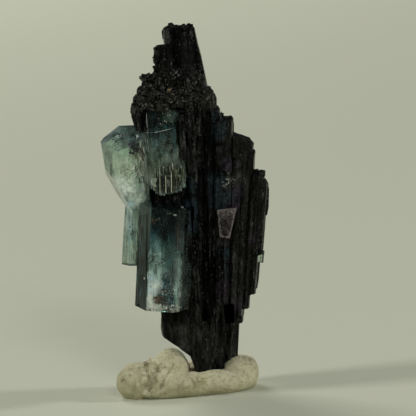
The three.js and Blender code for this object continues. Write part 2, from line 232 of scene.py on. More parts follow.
class Nodes:
    """A short way to lay out a material's nodes."""

    def __init__(self, name):
        self.material = bpy.data.materials.new(name)
        self.material.use_nodes = True
        self.tree = self.material.node_tree
        self.tree.nodes.clear()
        self.out = self.tree.nodes.new("ShaderNodeOutputMaterial")
        self.shader = self.tree.nodes.new("ShaderNodeBsdfPrincipled")
        self.link(self.shader.outputs[0], self.out.inputs["Surface"])

    def link(self, a, b):
        self.tree.links.new(a, b)

    def add(self, kind, values=None, **settings):
        node = self.tree.nodes.new(kind)
        for key, value in settings.items():
            setattr(node, key, value)
        for key, value in (values or {}).items():
            self.give(node.inputs[key], value)
        return node

    def give(self, socket, value):
        """Links a socket to another, or sets it."""
        if isinstance(value, bpy.types.NodeSocket):
            self.link(value, socket)
        else:
            socket.default_value = value

    def wear(self, **inputs):
        """Sets the shader's inputs by their names, with _ for a space."""
        for key, value in inputs.items():
            self.give(self.shader.inputs[key.replace("_", " ")], value)

    def coords(self, scale=(1, 1, 1)):
        """Object coordinates in millimetres, stretched by scale."""
        place = self.add("ShaderNodeTexCoord").outputs["Object"]
        stretch = tuple(s / MM for s in scale)
        return self.add("ShaderNodeMapping", {"Vector": place, "Scale": stretch}).outputs[0]

    def noise(self, scale, detail=4.0, rough=0.5, stretch=(1, 1, 1), distortion=0.0):
        values = {"Vector": self.coords(stretch), "Scale": scale, "Detail": detail, "Roughness": rough,
                  "Distortion": distortion}
        return self.add("ShaderNodeTexNoise", values).outputs[0]

    def ramp(self, value, stops):
        node = self.add("ShaderNodeValToRGB", {"Fac": value})
        elements = node.color_ramp.elements
        while len(elements) < len(stops):
            elements.new(0.5)
        for element, (at, colour) in zip(elements, stops):
            element.position = at
            element.color = rgba(colour)
        return node.outputs[0]

    def range(self, value, low, high, to_low=0.0, to_high=1.0):
        values = {"Value": value, "From Min": low, "From Max": high, "To Min": to_low, "To Max": to_high}
        return self.add("ShaderNodeMapRange", values).outputs[0]

    def math(self, operation, a, b=0.0):
        return self.add("ShaderNodeMath", {0: a, 1: b}, operation=operation).outputs[0]

    def times(self, first, *others):
        for other in others:
            first = self.math("MULTIPLY", first, other)
        return first

    def mix(self, fac, a, b):
        """Colours mixed by a factor."""
        node = self.add("ShaderNodeMix", {"Factor": fac, 6: rgba(a), 7: rgba(b)}, data_type="RGBA")
        return node.outputs[2]

    def blend(self, fac, a, b):
        """Plain numbers mixed by a factor."""
        return self.add("ShaderNodeMix", {"Factor": fac, 2: a, 3: b}).outputs[0]

    def axis(self, index):
        """A layout coordinate in millimetres."""
        part = self.add("ShaderNodeSeparateXYZ", {0: self.coords()}).outputs[index]
        return self.math("SUBTRACT", part, float(SHIFT[index]))

    def beside(self, base, head):
        """How far a point lies in x from a crystal's leaning axis, in millimetres."""
        lean = (head[0] - base[0]) / (head[2] - base[2])
        axis = self.math("ADD", self.times(self.axis(2), lean), base[0] - lean * base[2])
        return self.math("SUBTRACT", self.axis(0), axis)

    def near(self, point, radius, soft):
        """1 inside a ball round a layout point in millimetres, fading to 0."""
        centre = tuple(np.array(point) + SHIFT)
        gap = self.add("ShaderNodeVectorMath", {0: self.coords(), 1: centre}, operation="DISTANCE")
        return self.range(gap.outputs["Value"], radius - soft, radius + soft, 1.0, 0.0)

    def spots(self, places, soft):
        """1 inside any ball of a list (place in the frame, depth y, radius), fading to 0."""
        whole = None
        for px, py, y, radius in places:
            ball = self.near(seen(px, py, y), radius, soft)
            whole = ball if whole is None else self.math("MAXIMUM", whole, ball)
        return whole

    def bump(self, height, distance, normal=None):
        values = {"Height": height, "Distance": distance * MM, "Strength": 1.0}
        if normal is not None:
            values["Normal"] = normal
        return self.add("ShaderNodeBump", values).outputs[0]


# Marks on the putty and the schorl: place in the frame, depth y and radius in millimetres.
# On the putty: pits, darkened brown round them as painted shade, nodules squeezed up beside them, and dark
# specks.
PUTTY_PITS = [(147, 366, -6.6, 0.35), (152, 372, -7.2, 0.5), (153, 380, -7.6, 0.45), (152.5, 386, -7.8, 0.4),
              (158, 368, -6.4, 0.4), (146.5, 361, -5.6, 0.4), (163, 386, -7.7, 0.3), (123.5, 378, -6.6, 0.3),
              (150, 357.5, -4.6, 0.3), (164, 364, -5.8, 0.3), (149.5, 369, -7.0, 0.32), (155, 376, -7.4, 0.3),
              (149, 374, -7.0, 0.28), (205, 374, -6.6, 0.2), (130, 366, -6.2, 0.22)]
PUTTY_NODULES = [(148.5, 391, -7.3, 0.75), (151, 361.5, -5.3, 0.8), (146, 363.5, -5.6, 0.7),
                 (158, 363, -5.4, 0.7), (157, 378, -7.0, 0.8), (146, 379, -6.8, 0.8), (203, 377, -7.0, 0.8)]
PUTTY_SPECKS = [(184, 366.5, -5.6, 0.22), (181.5, 359, -5.0, 0.12), (176, 371, -7.0, 0.1),
                (139, 375, -7.2, 0.08)]
# On the schorl: painted reflections (pale grey and blue-grey sheens), lilac tints, painted sparkles, painted
# shade in its hollows and on the spire's front face, and orange grains.
LILAC = [(228, 164, -4.6, 0.9), (236, 193, -4.4, 1.1), (233, 205, -4.4, 0.9), (253, 239, -2.8, 0.8),
         (226, 288, -5.0, 1.4), (240, 305, -4.0, 1.5), (224, 245, -5.3, 0.9), (224, 300, -4.8, 0.9)]
# Painted reflections: blue-grey sheens where shiny faces would mirror the lights.
BLUE_GREY_PAINTED_SHEEN = [(191, 185, -5.6, 1.1), (192, 208, -6.2, 1.4), (193, 226, -6.6, 1.3), (190, 221, -6.6, 1.0),
             (217, 184, -5.5, 1.5), (219, 200, -5.5, 1.5), (229, 196, -4.6, 0.9), (216, 131, -4.5, 1.5),
             (215, 119, -4.4, 0.9), (229, 255, -5.2, 1.3), (228, 272, -5.2, 1.1), (186, 148, -5.0, 0.7)]
# Painted reflections: pale grey sheens.
PALE_PAINTED_SHEEN = [(196, 165, -5.6, 0.9), (185, 140, -5.0, 0.6), (225, 243, -5.4, 0.9), (237, 160, -4.0, 0.8),
             (238, 178, -4.0, 0.9), (181, 330, -3.0, 1.0), (176, 326, -1.0, 1.6), (185, 345, -3.2, 1.0),
             (196, 335, -3.4, 0.8), (212, 330, -3.4, 0.7), (226, 297, -4.6, 0.8)]
# Painted highlights: sparkles where small facets would catch the lights.
PAINTED_SPARKLES = [(227.5, 183, -4.8, 0.8), (232, 180, -4.6, 0.4), (184, 207, -7.4, 0.4), (183, 216, -7.4, 0.35),
            (222, 276, -5.2, 0.3), (237, 272, -4.4, 0.35), (236, 285, -4.2, 0.5), (176, 74, -2.2, 0.8),
            (191, 148, -4.9, 0.8), (193, 132, -4.9, 0.6), (186, 125, -5.0, 0.5), (214, 131, -4.6, 0.3)]
# Painted shade: near-black patches where the bundle's grooves and pits lie.
HOLLOW_PAINTED_SHADE = [(203, 172, -5.6, 1.0), (203, 186, -5.6, 1.1), (204, 200, -5.6, 1.0), (213, 224, -5.2, 0.9),
           (229, 313, -2.6, 1.3), (205, 312, -3.2, 0.8), (224, 147, -4.4, 0.7), (196, 250, -6.0, 0.8),
           (200, 270, -6.0, 1.2), (200, 285, -6.0, 1.1), (216, 165, -5.4, 0.7)]
ORANGE = [(170, 93, -3.6, 0.35), (211, 90, -1.6, 0.3)]
# Painted shade: a near-black patch over the spire's front face.
SPIRE_PAINTED_SHADE = [(187, 62, -2.2, 2.6)]

# Heights and widths between which a layer of colour comes or goes, in millimetres.
FOOT_ENDS = (9.0, 13.0)
DUST_STARTS = (6.4, 8.0)
LEDGE_STARTS = (41.0, 42.5)
LEDGE_ENDS = (46.0, 48.0)
SPIRE_STARTS = (45.0, 47.0)
SPIRE_LEFT = (-0.2, -1.0)
MATTE_PALER = (20.0, 26.0)
PUTTY_DARKER_FOOT = (0.2, 2.4)
FLAKE_FRAYED = (25.4, 26.2)
# How strongly each mineral bends light.
SCHORL_IOR = 1.5
BERYL_IOR = 1.575


def schorl_layers(n, column):
    """What lies over the schorl's black, the lowest first: how much of it shows, and its colour."""
    streak = n.noise(3.2, 3.0, 0.6, (1, 1, 0.2))
    broad = n.noise(1.2, 4.0, 0.6, (1, 1, 0.3))
    speck = n.noise(2.2, 4.0, 0.7)
    fine_speck = n.noise(3.4, 3.0, 0.6, (1, 1, 0.55))
    streaky = n.times(n.range(streak, 0.5, 0.62), n.range(broad, 0.45, 0.6, 0.1, 1.0),
                      n.range(column, 0, 1, 0.1, 1.0))
    mottled = n.times(n.range(speck, 0.54, 0.66), n.range(broad, 0.4, 0.58, 0.15, 1.0),
                      n.range(column, 0, 1, 0.15, 1.0))
    foot = n.times(n.range(n.axis(2), *FOOT_ENDS, 1.0, 0.0), n.range(broad, 0.42, 0.6, 0.1, 1.0),
                   n.range(streak, 0.42, 0.58, 0.2, 1.0))
    dusty = n.times(n.range(n.axis(0), *DUST_STARTS), n.range(speck, 0.42, 0.62, 0.1, 0.8))
    ledge = n.times(n.range(n.axis(2), *LEDGE_STARTS), n.range(n.axis(2), *LEDGE_ENDS, 1.0, 0.0))
    # Pale specks on the ledge: painted highlights on its grains' tops.
    painted_grain_highlights = n.range(n.noise(2.9, 2.0, 0.5), 0.60, 0.66)
    spire = n.times(n.range(n.axis(2), *SPIRE_STARTS), n.range(n.axis(0), *SPIRE_LEFT),
                    n.range(streak, 0.4, 0.6))
    # Where a painted sheen or a lilac tint shows.
    sheen = n.range(speck, 0.38, 0.58, 0.15, 1.0)
    # Painted highlights: tiny glints scattered over the black.
    painted_glints = n.times(n.range(fine_speck, 0.64, 0.69), n.range(broad, 0.48, 0.56))
    bright = n.range(n.noise(3.4, 3.0, 0.6), 0.55, 0.62)
    return [
        (streaky, (0.062, 0.068, 0.058)),
        (mottled, (0.060, 0.065, 0.055)),
        (foot, (0.040, 0.042, 0.033)),
        (dusty, (0.016, 0.016, 0.011)),
        # the ledge: its crust's own grey, then painted highlights on its grains' tops
        (n.times(ledge, n.range(speck, 0.48, 0.62)), (0.044, 0.046, 0.035)),
        (n.times(ledge, painted_grain_highlights), (0.19, 0.185, 0.145)),
        (spire, (0.014, 0.015, 0.012)),
        # painted shade on the spire's front face
        (n.times(n.spots(SPIRE_PAINTED_SHADE, 0.9), 0.85), (0.0006, 0.0007, 0.0005)),
        # painted reflections: pale grey and blue-grey sheens, with lilac tints between them
        (n.times(n.spots(PALE_PAINTED_SHEEN, 0.5), sheen), (0.060, 0.062, 0.056)),
        (n.times(n.spots(LILAC, 0.5), sheen), (0.054, 0.040, 0.058)),
        (n.times(n.spots(BLUE_GREY_PAINTED_SHEEN, 0.5), sheen), (0.030, 0.050, 0.060)),
        # painted shade in the grooves and pits
        (n.times(n.spots(HOLLOW_PAINTED_SHADE, 0.4), 0.9), (0.0003, 0.0004, 0.0003)),
        # painted highlights: glints and sparkles
        (painted_glints, (0.20, 0.21, 0.19)),
        (n.times(n.spots(PAINTED_SPARKLES, 0.28), bright), (0.48, 0.50, 0.46)),
        (n.spots(ORANGE, 0.12), (0.55, 0.36, 0.14)),
    ]


def schorl_relief(n):
    """Fine ribs, small broken facets and pits."""
    ribbed = n.bump(n.noise(2.6, 4.0, 0.6, (1, 1, 0.05)), 0.3)
    cells = n.add("ShaderNodeTexVoronoi", {"Vector": n.coords((1, 1, 0.3)), "Scale": 1.9}).outputs["Distance"]
    facets = n.bump(cells, 0.35, ribbed)
    return n.bump(n.noise(1.7, 5.0, 0.7, (1, 1, 0.6)), 0.45, facets)


def schorl_material():
    """Black, with duller greys on its ribs, ledge and foot, and painted sheens, glints, sparkles and shade.
    """
    n = Nodes("schorl_black")
    column = n.range(n.noise(0.9, 3.0, 0.55, (1, 1, 0.05)), 0.44, 0.56)
    grain = n.noise(0.9, 5.0, 0.6, (1, 1, 0.22))
    colour = n.ramp(grain, [(0.35, (0.0004, 0.0006, 0.0003)), (0.6, (0.0016, 0.0019, 0.0013)),
                            (0.8, (0.005, 0.0052, 0.004))])
    for share, tint in schorl_layers(n, column):
        colour = n.mix(share, colour, tint)
    rough = n.range(n.noise(1.6, 3.0, 0.6, (1, 1, 0.3)), 0.35, 0.7, 0.09, 0.28)
    n.wear(Base_Color=colour, Roughness=rough, Normal=schorl_relief(n), IOR=SCHORL_IOR,
           Specular_IOR_Level=n.range(column, 0, 1, 0.05, 0.2))
    return n.material


def milky_levels(n, levels, streak):
    """The cloudiness and milky colour of a crystal by height, broken into patches and streaks."""
    low, high = levels[0][0], levels[-1][0]
    level = n.range(n.axis(2), low, high)
    places = [(z - low) / (high - low) for z, _, _ in levels]
    ramp = n.ramp(level, [(at, (share, share, share)) for at, (_, share, _) in zip(places, levels)])
    body = n.ramp(level, [(at, colour) for at, (_, _, colour) in zip(places, levels)])
    patchy = n.range(n.noise(0.8, 5.0, 0.65, (1, 1, 0.45)), 0.36, 0.66, 0.15, 2.0)
    streaks = n.range(n.noise(2.6, 3.0, 0.6, (1, 1, 0.09)), 0.38, 0.62, 1 - 0.55 * streak, 1 + 0.6 * streak)
    return n.times(ramp, patchy, streaks), body


def matte_coat(n):
    """The colour of a crystal's dull face: scratched, unevenly shaded and paler towards its top."""
    scratched = n.range(n.noise(2.2, 4.0, 0.65, (1, 1, 0.08)), 0.42, 0.58)
    shaded = n.range(n.noise(0.45, 3.0, 0.6, (1, 1, 0.3)), 0.42, 0.6, 0.35, 1.3)
    coat = n.mix(scratched, (0.012, 0.028, 0.022), (0.070, 0.108, 0.080))
    coat = n.mix(n.math("SUBTRACT", 1.3, shaded), coat, (0.012, 0.022, 0.019))
    return n.mix(n.range(n.axis(2), *MATTE_PALER, 0.0, 0.75), coat, (0.105, 0.160, 0.125))


def clear_relief(n):
    """Slight unevenness, pits and striations of a crystal's faces."""
    lumpy = n.bump(n.noise(0.8, 3.0, 0.5), 0.06)
    pitted = n.bump(n.noise(2.7, 4.0, 0.6, (1, 1, 0.5)), 0.035, lumpy)
    return n.bump(n.noise(2.4, 3.0, 0.6, (1, 1, 0.05)), 0.03, pitted)


def clear_material(name, tint, density, axis, levels, strips, patches, coats, streak, matte):
    """Slightly cloudy clear crystal.

    tint and density are the absorption's colour and strength, and axis is the crystal's base and head.
    levels lists (height, cloudiness, colour of the milky part), strips lists (from, to, share of the
    cloudiness kept) in millimetres beside the axis, and patches lists (point, radius, softness, cloudiness,
    colour). coats are unbroken patches. streak is how strongly the cloud is drawn out along the axis, and
    matte, again beside the axis, is where the surface turns dull.
    """
    n = Nodes(name)
    cloud, body = milky_levels(n, levels, streak)
    for start, end, kept in strips:
        cloud = n.times(cloud, n.range(n.beside(*axis), start, end, 1.0, kept))
    broken = n.range(n.noise(1.9, 4.0, 0.65), 0.36, 0.6, 0.25, 1.0)
    for marks, cover in ((patches, broken), (coats, 1.0)):
        for point, radius, soft, amount, colour in marks:
            here = n.times(n.near(point, radius, soft), cover)
            cloud = n.blend(here, cloud, amount)
            body = n.mix(here, body, colour)
    cloud = n.math("MINIMUM", cloud, 0.95)
    dull = n.range(n.beside(*axis), *matte)
    etched = n.range(n.noise(2.2, 3.0, 0.6, (1, 1, 0.06)), 0.4, 0.6, 0.25, 0.75)
    cloud = n.blend(dull, cloud, etched)
    rough = n.range(n.noise(1.1, 4.0, 0.6), 0.45, 0.75, 0.01, 0.09)
    n.wear(Base_Color=n.mix(dull, body, matte_coat(n)), Roughness=n.math("ADD", rough, n.times(dull, 0.38)),
           Normal=clear_relief(n), IOR=BERYL_IOR, Specular_Tint=(0.12, 0.13, 0.13, 1),
           Specular_IOR_Level=0.2, Transmission_Weight=n.math("SUBTRACT", 1.0, cloud))
    volume = n.add("ShaderNodeVolumeAbsorption", {"Color": rgba(tint), "Density": density})
    n.link(volume.outputs[0], n.out.inputs["Volume"])
    return n.material


def veil_material(name, colour, cover, scale=1.3, rough=0.35):
    """A healed crack or a cloud inside a crystal: broken, part see-through, thinner towards its rim."""
    n = Nodes(name)
    cloud = n.range(n.noise(scale, 5.0, 0.65), 0.42, 0.62, 0.0, cover)
    fade = n.add("ShaderNodeAttribute", attribute_name="fade").outputs["Fac"]
    normal = n.bump(n.noise(2.5, 3.0, 0.6), 0.12)
    n.wear(Base_Color=rgba(colour), Roughness=rough, Alpha=n.times(cloud, fade), Normal=normal)
    return n.material


def glint_material(name, colour):
    """A thin pale thread: etched tubes and cracks inside a crystal, and painted reflections and highlights on
    its faces.
    """
    n = Nodes(name)
    shade = n.mix(n.range(n.noise(3.0, 3.0), 0.35, 0.7), colour, darker(colour, 0.6))
    n.wear(Base_Color=shade, Roughness=0.25)
    return n.material


def speck_material(name, colour, rough=0.5):
    """A small dull inclusion. The black one also draws painted shade between the upper crystal's teeth."""
    n = Nodes(name)
    shade = n.mix(n.range(n.noise(3.0, 3.0), 0.35, 0.7), colour, darker(colour, 0.45))
    n.wear(Base_Color=shade, Roughness=rough, Normal=n.bump(n.noise(4.0, 3.0), 0.05))
    return n.material


def inclusion_materials():
    """The material of each kind of inclusion, by the name that the tables give it."""
    veils = {
        "white": ((0.62, 0.72, 0.72), 0.6),
        "blue": ((0.20, 0.46, 0.54), 0.65, 0.9),
        "yellow": ((0.55, 0.52, 0.30), 0.75, 1.0),
        "green": ((0.22, 0.32, 0.22), 0.6, 0.8),
        "dark": ((0.006, 0.012, 0.015), 0.95, 0.9, 0.2),
    }
    tubes = {"white": (0.75, 0.80, 0.76), "cream": (0.95, 0.93, 0.72), "teal": (0.16, 0.42, 0.48)}
    specks = {"rust": (0.15, 0.095, 0.045), "green": (0.20, 0.22, 0.12)}
    kinds = {f"veil_{name}": veil_material(f"veil_{name}", *looks) for name, looks in veils.items()}
    kinds.update({name: glint_material(f"tube_{name}", colour) for name, colour in tubes.items()})
    kinds.update({name: speck_material(f"inclusion_{name}", colour) for name, colour in specks.items()})
    kinds["black"] = speck_material("inclusion_black_and_painted_shade", (0.005, 0.007, 0.007), 0.3)
    return kinds


def outline_depth(n, outline):
    """How far a point lies inside a convex outline in x and z, in millimetres."""
    edge = None
    for (x0, z0), (x1, z1) in zip(outline, outline[1:] + outline[:1]):
        length = math.hypot(x1 - x0, z1 - z0)
        across, up = (z0 - z1) / length, (x1 - x0) / length
        along = n.math("ADD", n.times(n.axis(0), across), n.times(n.axis(2), up))
        reach = n.math("SUBTRACT", along, across * x0 + up * z0)
        edge = reach if edge is None else n.math("MINIMUM", edge, reach)
    return edge


def flake_material():
    """Dark grey with pale cracks and a pale, ragged rim."""
    n = Nodes("flake_grey")
    cloud = n.noise(1.6, 5.0, 0.65, (1, 1, 0.6))
    colour = n.ramp(cloud, [(0.36, (0.004, 0.004, 0.004)), (0.5, (0.020, 0.017, 0.018)),
                            (0.62, (0.075, 0.064, 0.066))])
    cracks = n.noise(2.4, 4.0, 0.7)
    gap = n.math("ABSOLUTE", n.math("SUBTRACT", n.noise(1.1, 3.0, 0.6, distortion=0.6), 0.5))
    colour = n.mix(n.range(gap, 0.0, 0.022, 0.85, 0.0), colour, (0.19, 0.165, 0.165))
    ragged = n.math("ADD", outline_depth(n, FLAKE["outline"]), n.range(cracks, 0.3, 0.7, -0.25, 0.35))
    rim = n.times(n.range(ragged, 0.05, 0.45, 1.0, 0.0), n.range(cloud, 0.42, 0.5, 0.1, 1.0))
    frayed_top = n.times(n.range(n.axis(2), *FLAKE_FRAYED), n.range(cracks, 0.46, 0.56))
    colour = n.mix(n.math("MAXIMUM", rim, frayed_top), colour, (0.27, 0.235, 0.23))
    n.wear(Base_Color=colour, Roughness=n.range(cracks, 0.3, 0.7, 0.25, 0.55), Normal=n.bump(cracks, 0.4),
           Specular_IOR_Level=0.2)
    return n.material


def putty_material():
    """Cream, darkened brown round its pits as painted shade, and a little darker towards its foot."""
    n = Nodes("putty_cream")
    broad = n.noise(0.3, 4.0, 0.6)
    fine = n.noise(1.8, 5.0, 0.68)
    colour = n.ramp(broad, [(0.34, (0.46, 0.43, 0.26)), (0.5, (0.65, 0.62, 0.40)),
                            (0.68, (0.74, 0.72, 0.48))])
    colour = n.mix(n.range(fine, 0.5, 0.68, 0.0, 0.65), colour, (0.30, 0.25, 0.14))
    dots = n.range(n.noise(5.0, 2.0, 0.5), 0.66, 0.7, 0.0, 0.7)
    colour = n.mix(dots, colour, (0.10, 0.085, 0.055))
    uneven = n.range(fine, 0.38, 0.58, 0.1, 1.0)
    # Painted shade: brown darkening in and round each pit.
    for px, py, y, radius in PUTTY_PITS:
        pit_shade = n.near(seen(px, py, y), radius * 1.4, 0.35)
        colour = n.mix(n.times(pit_shade, uneven), colour, (0.17, 0.115, 0.055))
    for px, py, y, radius in PUTTY_SPECKS:
        speck = n.near(seen(px, py, y), radius, 0.1)
        colour = n.mix(n.times(speck, 0.9), colour, (0.05, 0.05, 0.045))
    # Darker towards the foot.
    low = n.range(n.axis(2), *PUTTY_DARKER_FOOT, 0.45, 0.0)
    colour = n.mix(low, colour, (0.46, 0.43, 0.27))
    prints = n.bump(n.noise(0.9, 5.0, 0.62), 0.35)
    skin = n.bump(n.noise(4.0, 4.0, 0.65), 0.06, prints)
    n.wear(Base_Color=colour, Roughness=n.range(fine, 0.3, 0.7, 0.5, 0.8), Normal=skin,
           Subsurface_Weight=0.12, Subsurface_Radius=(0.0012, 0.0009, 0.0005), Subsurface_Scale=0.6)
    return n.material


# The crystals
LARGE = 120  # wider than anything that is cut out of it


def polyhedron(faces, grow=0.0, bevel=0.0):
    """The convex solid inside flat faces (outward direction, point), with its edges worn by bevel."""
    bm = bmesh.new()
    bmesh.ops.create_cube(bm, size=LARGE)
    for direction, point in faces:
        normal = Vector(direction).normalized()
        cut_away(bm, Vector(point) + normal * grow, normal)
    bmesh.ops.remove_doubles(bm, verts=bm.verts, dist=1e-4)
    bmesh.ops.recalc_face_normals(bm, faces=bm.faces)
    if bevel:
        bmesh.ops.bevel(bm, geom=bm.edges[:], offset=bevel, segments=2, profile=0.6, affect="EDGES",
                        clamp_overlap=True)
    bmesh.ops.triangulate(bm, faces=[f for f in bm.faces if len(f.verts) > 4])
    return taken(bm)


def hexagon_faces(base, head, radius, turn, bevels=()):
    """A six-sided prism from base to head, turned by degrees round its axis, with extra faces at its end."""
    start = Vector(base)
    axis = (Vector(head) - start).normalized()
    side = (Vector((1, 0, 0)) - axis * axis.x).normalized()
    deep = axis.cross(side)
    faces = [(axis, head), (-axis, base)]
    for i in range(6):
        angle = math.radians(turn + 30 + 60 * i)
        normal = side * math.cos(angle) + deep * math.sin(angle)
        faces.append((normal, start + normal * radius * math.cos(math.pi / 6)))
    return faces + list(bevels)


LOWER_AXIS = ((-3.35, -4.9, 12.95), (-1.85, -5.6, 27.9))
UPPER_AXIS = ((-2.35, -4.7, 28.9), (-1.65, -4.6, 41.9))
UPPER_BEVELS = [
    ((0.2, -0.05, -0.98), (-1.5, -8, 29.9)),
    ((-0.72, -0.1, -0.69), (-3.4, -7.6, 30.2)),
    ((0.78, -0.05, -0.61), (0.35, -7.5, 30.65)),
]
LOWER = hexagon_faces(*LOWER_AXIS, 3.95, -6)
UPPER = hexagon_faces(*UPPER_AXIS, 3.8, -3, UPPER_BEVELS)
BACK = hexagon_faces((-7.55, 0.4, 18.7), (-6.1, 0.0, 31.5), 1.45, 20)
SMALL = hexagon_faces((11.12, -1.2, 18.2), (11.4, -1.05, 19.95), 0.45, 10)
# The stout left crystal's faces: outward direction and a point on each.
LEFT = [
    ((-0.99, -0.05, -0.1), (-10.7, -2.6, 35)),
    ((-0.86, -0.2, -0.46), (-9.3, -2.6, 30.6)),
    ((-0.5, -0.1, -0.86), (-7.6, -2.6, 27.5)),
    ((0.05, -0.12, -1), (-6, -2.6, 26.8)),
    ((-0.6, -0.2, 0.78), (-9.55, -2.6, 37.75)),
    ((0.14, -0.15, 0.98), (-7, -2.6, 38.75)),
    ((-0.22, -0.97, -0.06), (-7.6, -6.0, 34)),
    ((-0.1, -0.86, -0.5), (-6.8, -5.75, 29.5)),
    ((-0.8, -0.6, 0.02), (-10.2, -4.4, 35)),
    ((-0.4, -0.65, 0.65), (-8.6, -4.9, 36.9)),
    ((-0.25, 0.95, 0.1), (-7, 1.0, 33)),
    ((-0.75, 0.65, -0.1), (-9.8, -0.5, 34)),
    ((-0.3, 0.75, -0.6), (-7, 0.2, 28.8)),
    ((-0.3, 0.7, 0.6), (-7.4, 0.3, 37.8)),
    ((1, 0, 0), (-4.3, -2, 33)),
]

SHEET_THICKNESS = 0.02
WALL = 0.07  # how far inside the faces an inclusion stays, in millimetres
VEIL_SLOPE = 0.3  # how much a veil slants back, as a share of its size
OPEN_RIM = 0.03  # how far an inclusion that breaks the surface stands out of it


def sheet(middle, wide, tall, rng, wave=0.25, cells=14):
    """A thin closed wavy lens round a point, spanned by two half-vectors, with a fade towards its rim."""
    steps = np.linspace(-1, 1, cells + 1)
    u, v = [g.ravel() for g in np.meshgrid(steps, steps)]
    middle, wide, tall = np.array(middle), np.array(wide), np.array(tall)
    normal = np.cross(wide, tall)
    normal /= np.linalg.norm(normal)
    phase = rng.uniform(0, 6, 3)
    broad = np.sin(2.2 * u + phase[0]) * np.cos(1.7 * v + phase[1])
    ripple = wave * (broad + 0.4 * np.sin(5 * u + 4 * v + phase[2]))
    front = middle + u[:, None] * wide + v[:, None] * tall + ripple[:, None] * normal
    fade = np.clip(1.5 * (1 - np.hypot(u, v)), 0, 1)
    verts = np.vstack([front, front + SHEET_THICKNESS * normal])
    return verts, grid_faces(cells), np.concatenate([fade, fade])


def ribbon(points, width):
    """A thin closed thread with four sides through a list of points."""
    points = np.array(points, float)
    count = len(points)
    verts, faces = [], []
    for i, point in enumerate(points):
        half = width * (0.25 if i in (0, count - 1) else 1)
        ahead = points[min(i + 1, count - 1)] - points[max(i - 1, 0)]
        ahead /= max(np.linalg.norm(ahead), 1e-6)
        side = np.cross(ahead, (0, 1, 0))
        side /= max(np.linalg.norm(side), 1e-6)
        deep = np.cross(side, ahead)
        verts += [point + way * half for way in (side, deep, -side, -deep)]
        if i:
            a, b = 4 * (i - 1), 4 * i
            faces += [(a + k, a + (k + 1) % 4, b + (k + 1) % 4, b + k) for k in range(4)]
    faces += [(3, 2, 1, 0), tuple(4 * (count - 1) + k for k in range(4))]
    return np.array(verts), faces


def grain_mesh(size, euler, place, rng):
    """A small worn crystal grain: a cube cut by a few slanting planes."""
    half = np.array(size) / 2
    faces = [((s if a == 0 else 0, s if a == 1 else 0, s if a == 2 else 0), tuple(np.eye(3)[a] * s * half[a]))
             for a in range(3) for s in (-1, 1)]
    for _ in range(3):
        direction = rng.normal(size=3)
        direction /= np.linalg.norm(direction)
        reach = 0.78 * float(np.abs(direction) @ half)
        faces.append((tuple(direction), tuple(direction * reach)))
    verts, made = polyhedron(faces)
    turn = np.array(Matrix.Rotation(euler[0], 3, "X") @ Matrix.Rotation(euler[1], 3, "Y")
                    @ Matrix.Rotation(euler[2], 3, "Z"))
    return verts @ turn.T + np.array(place), made


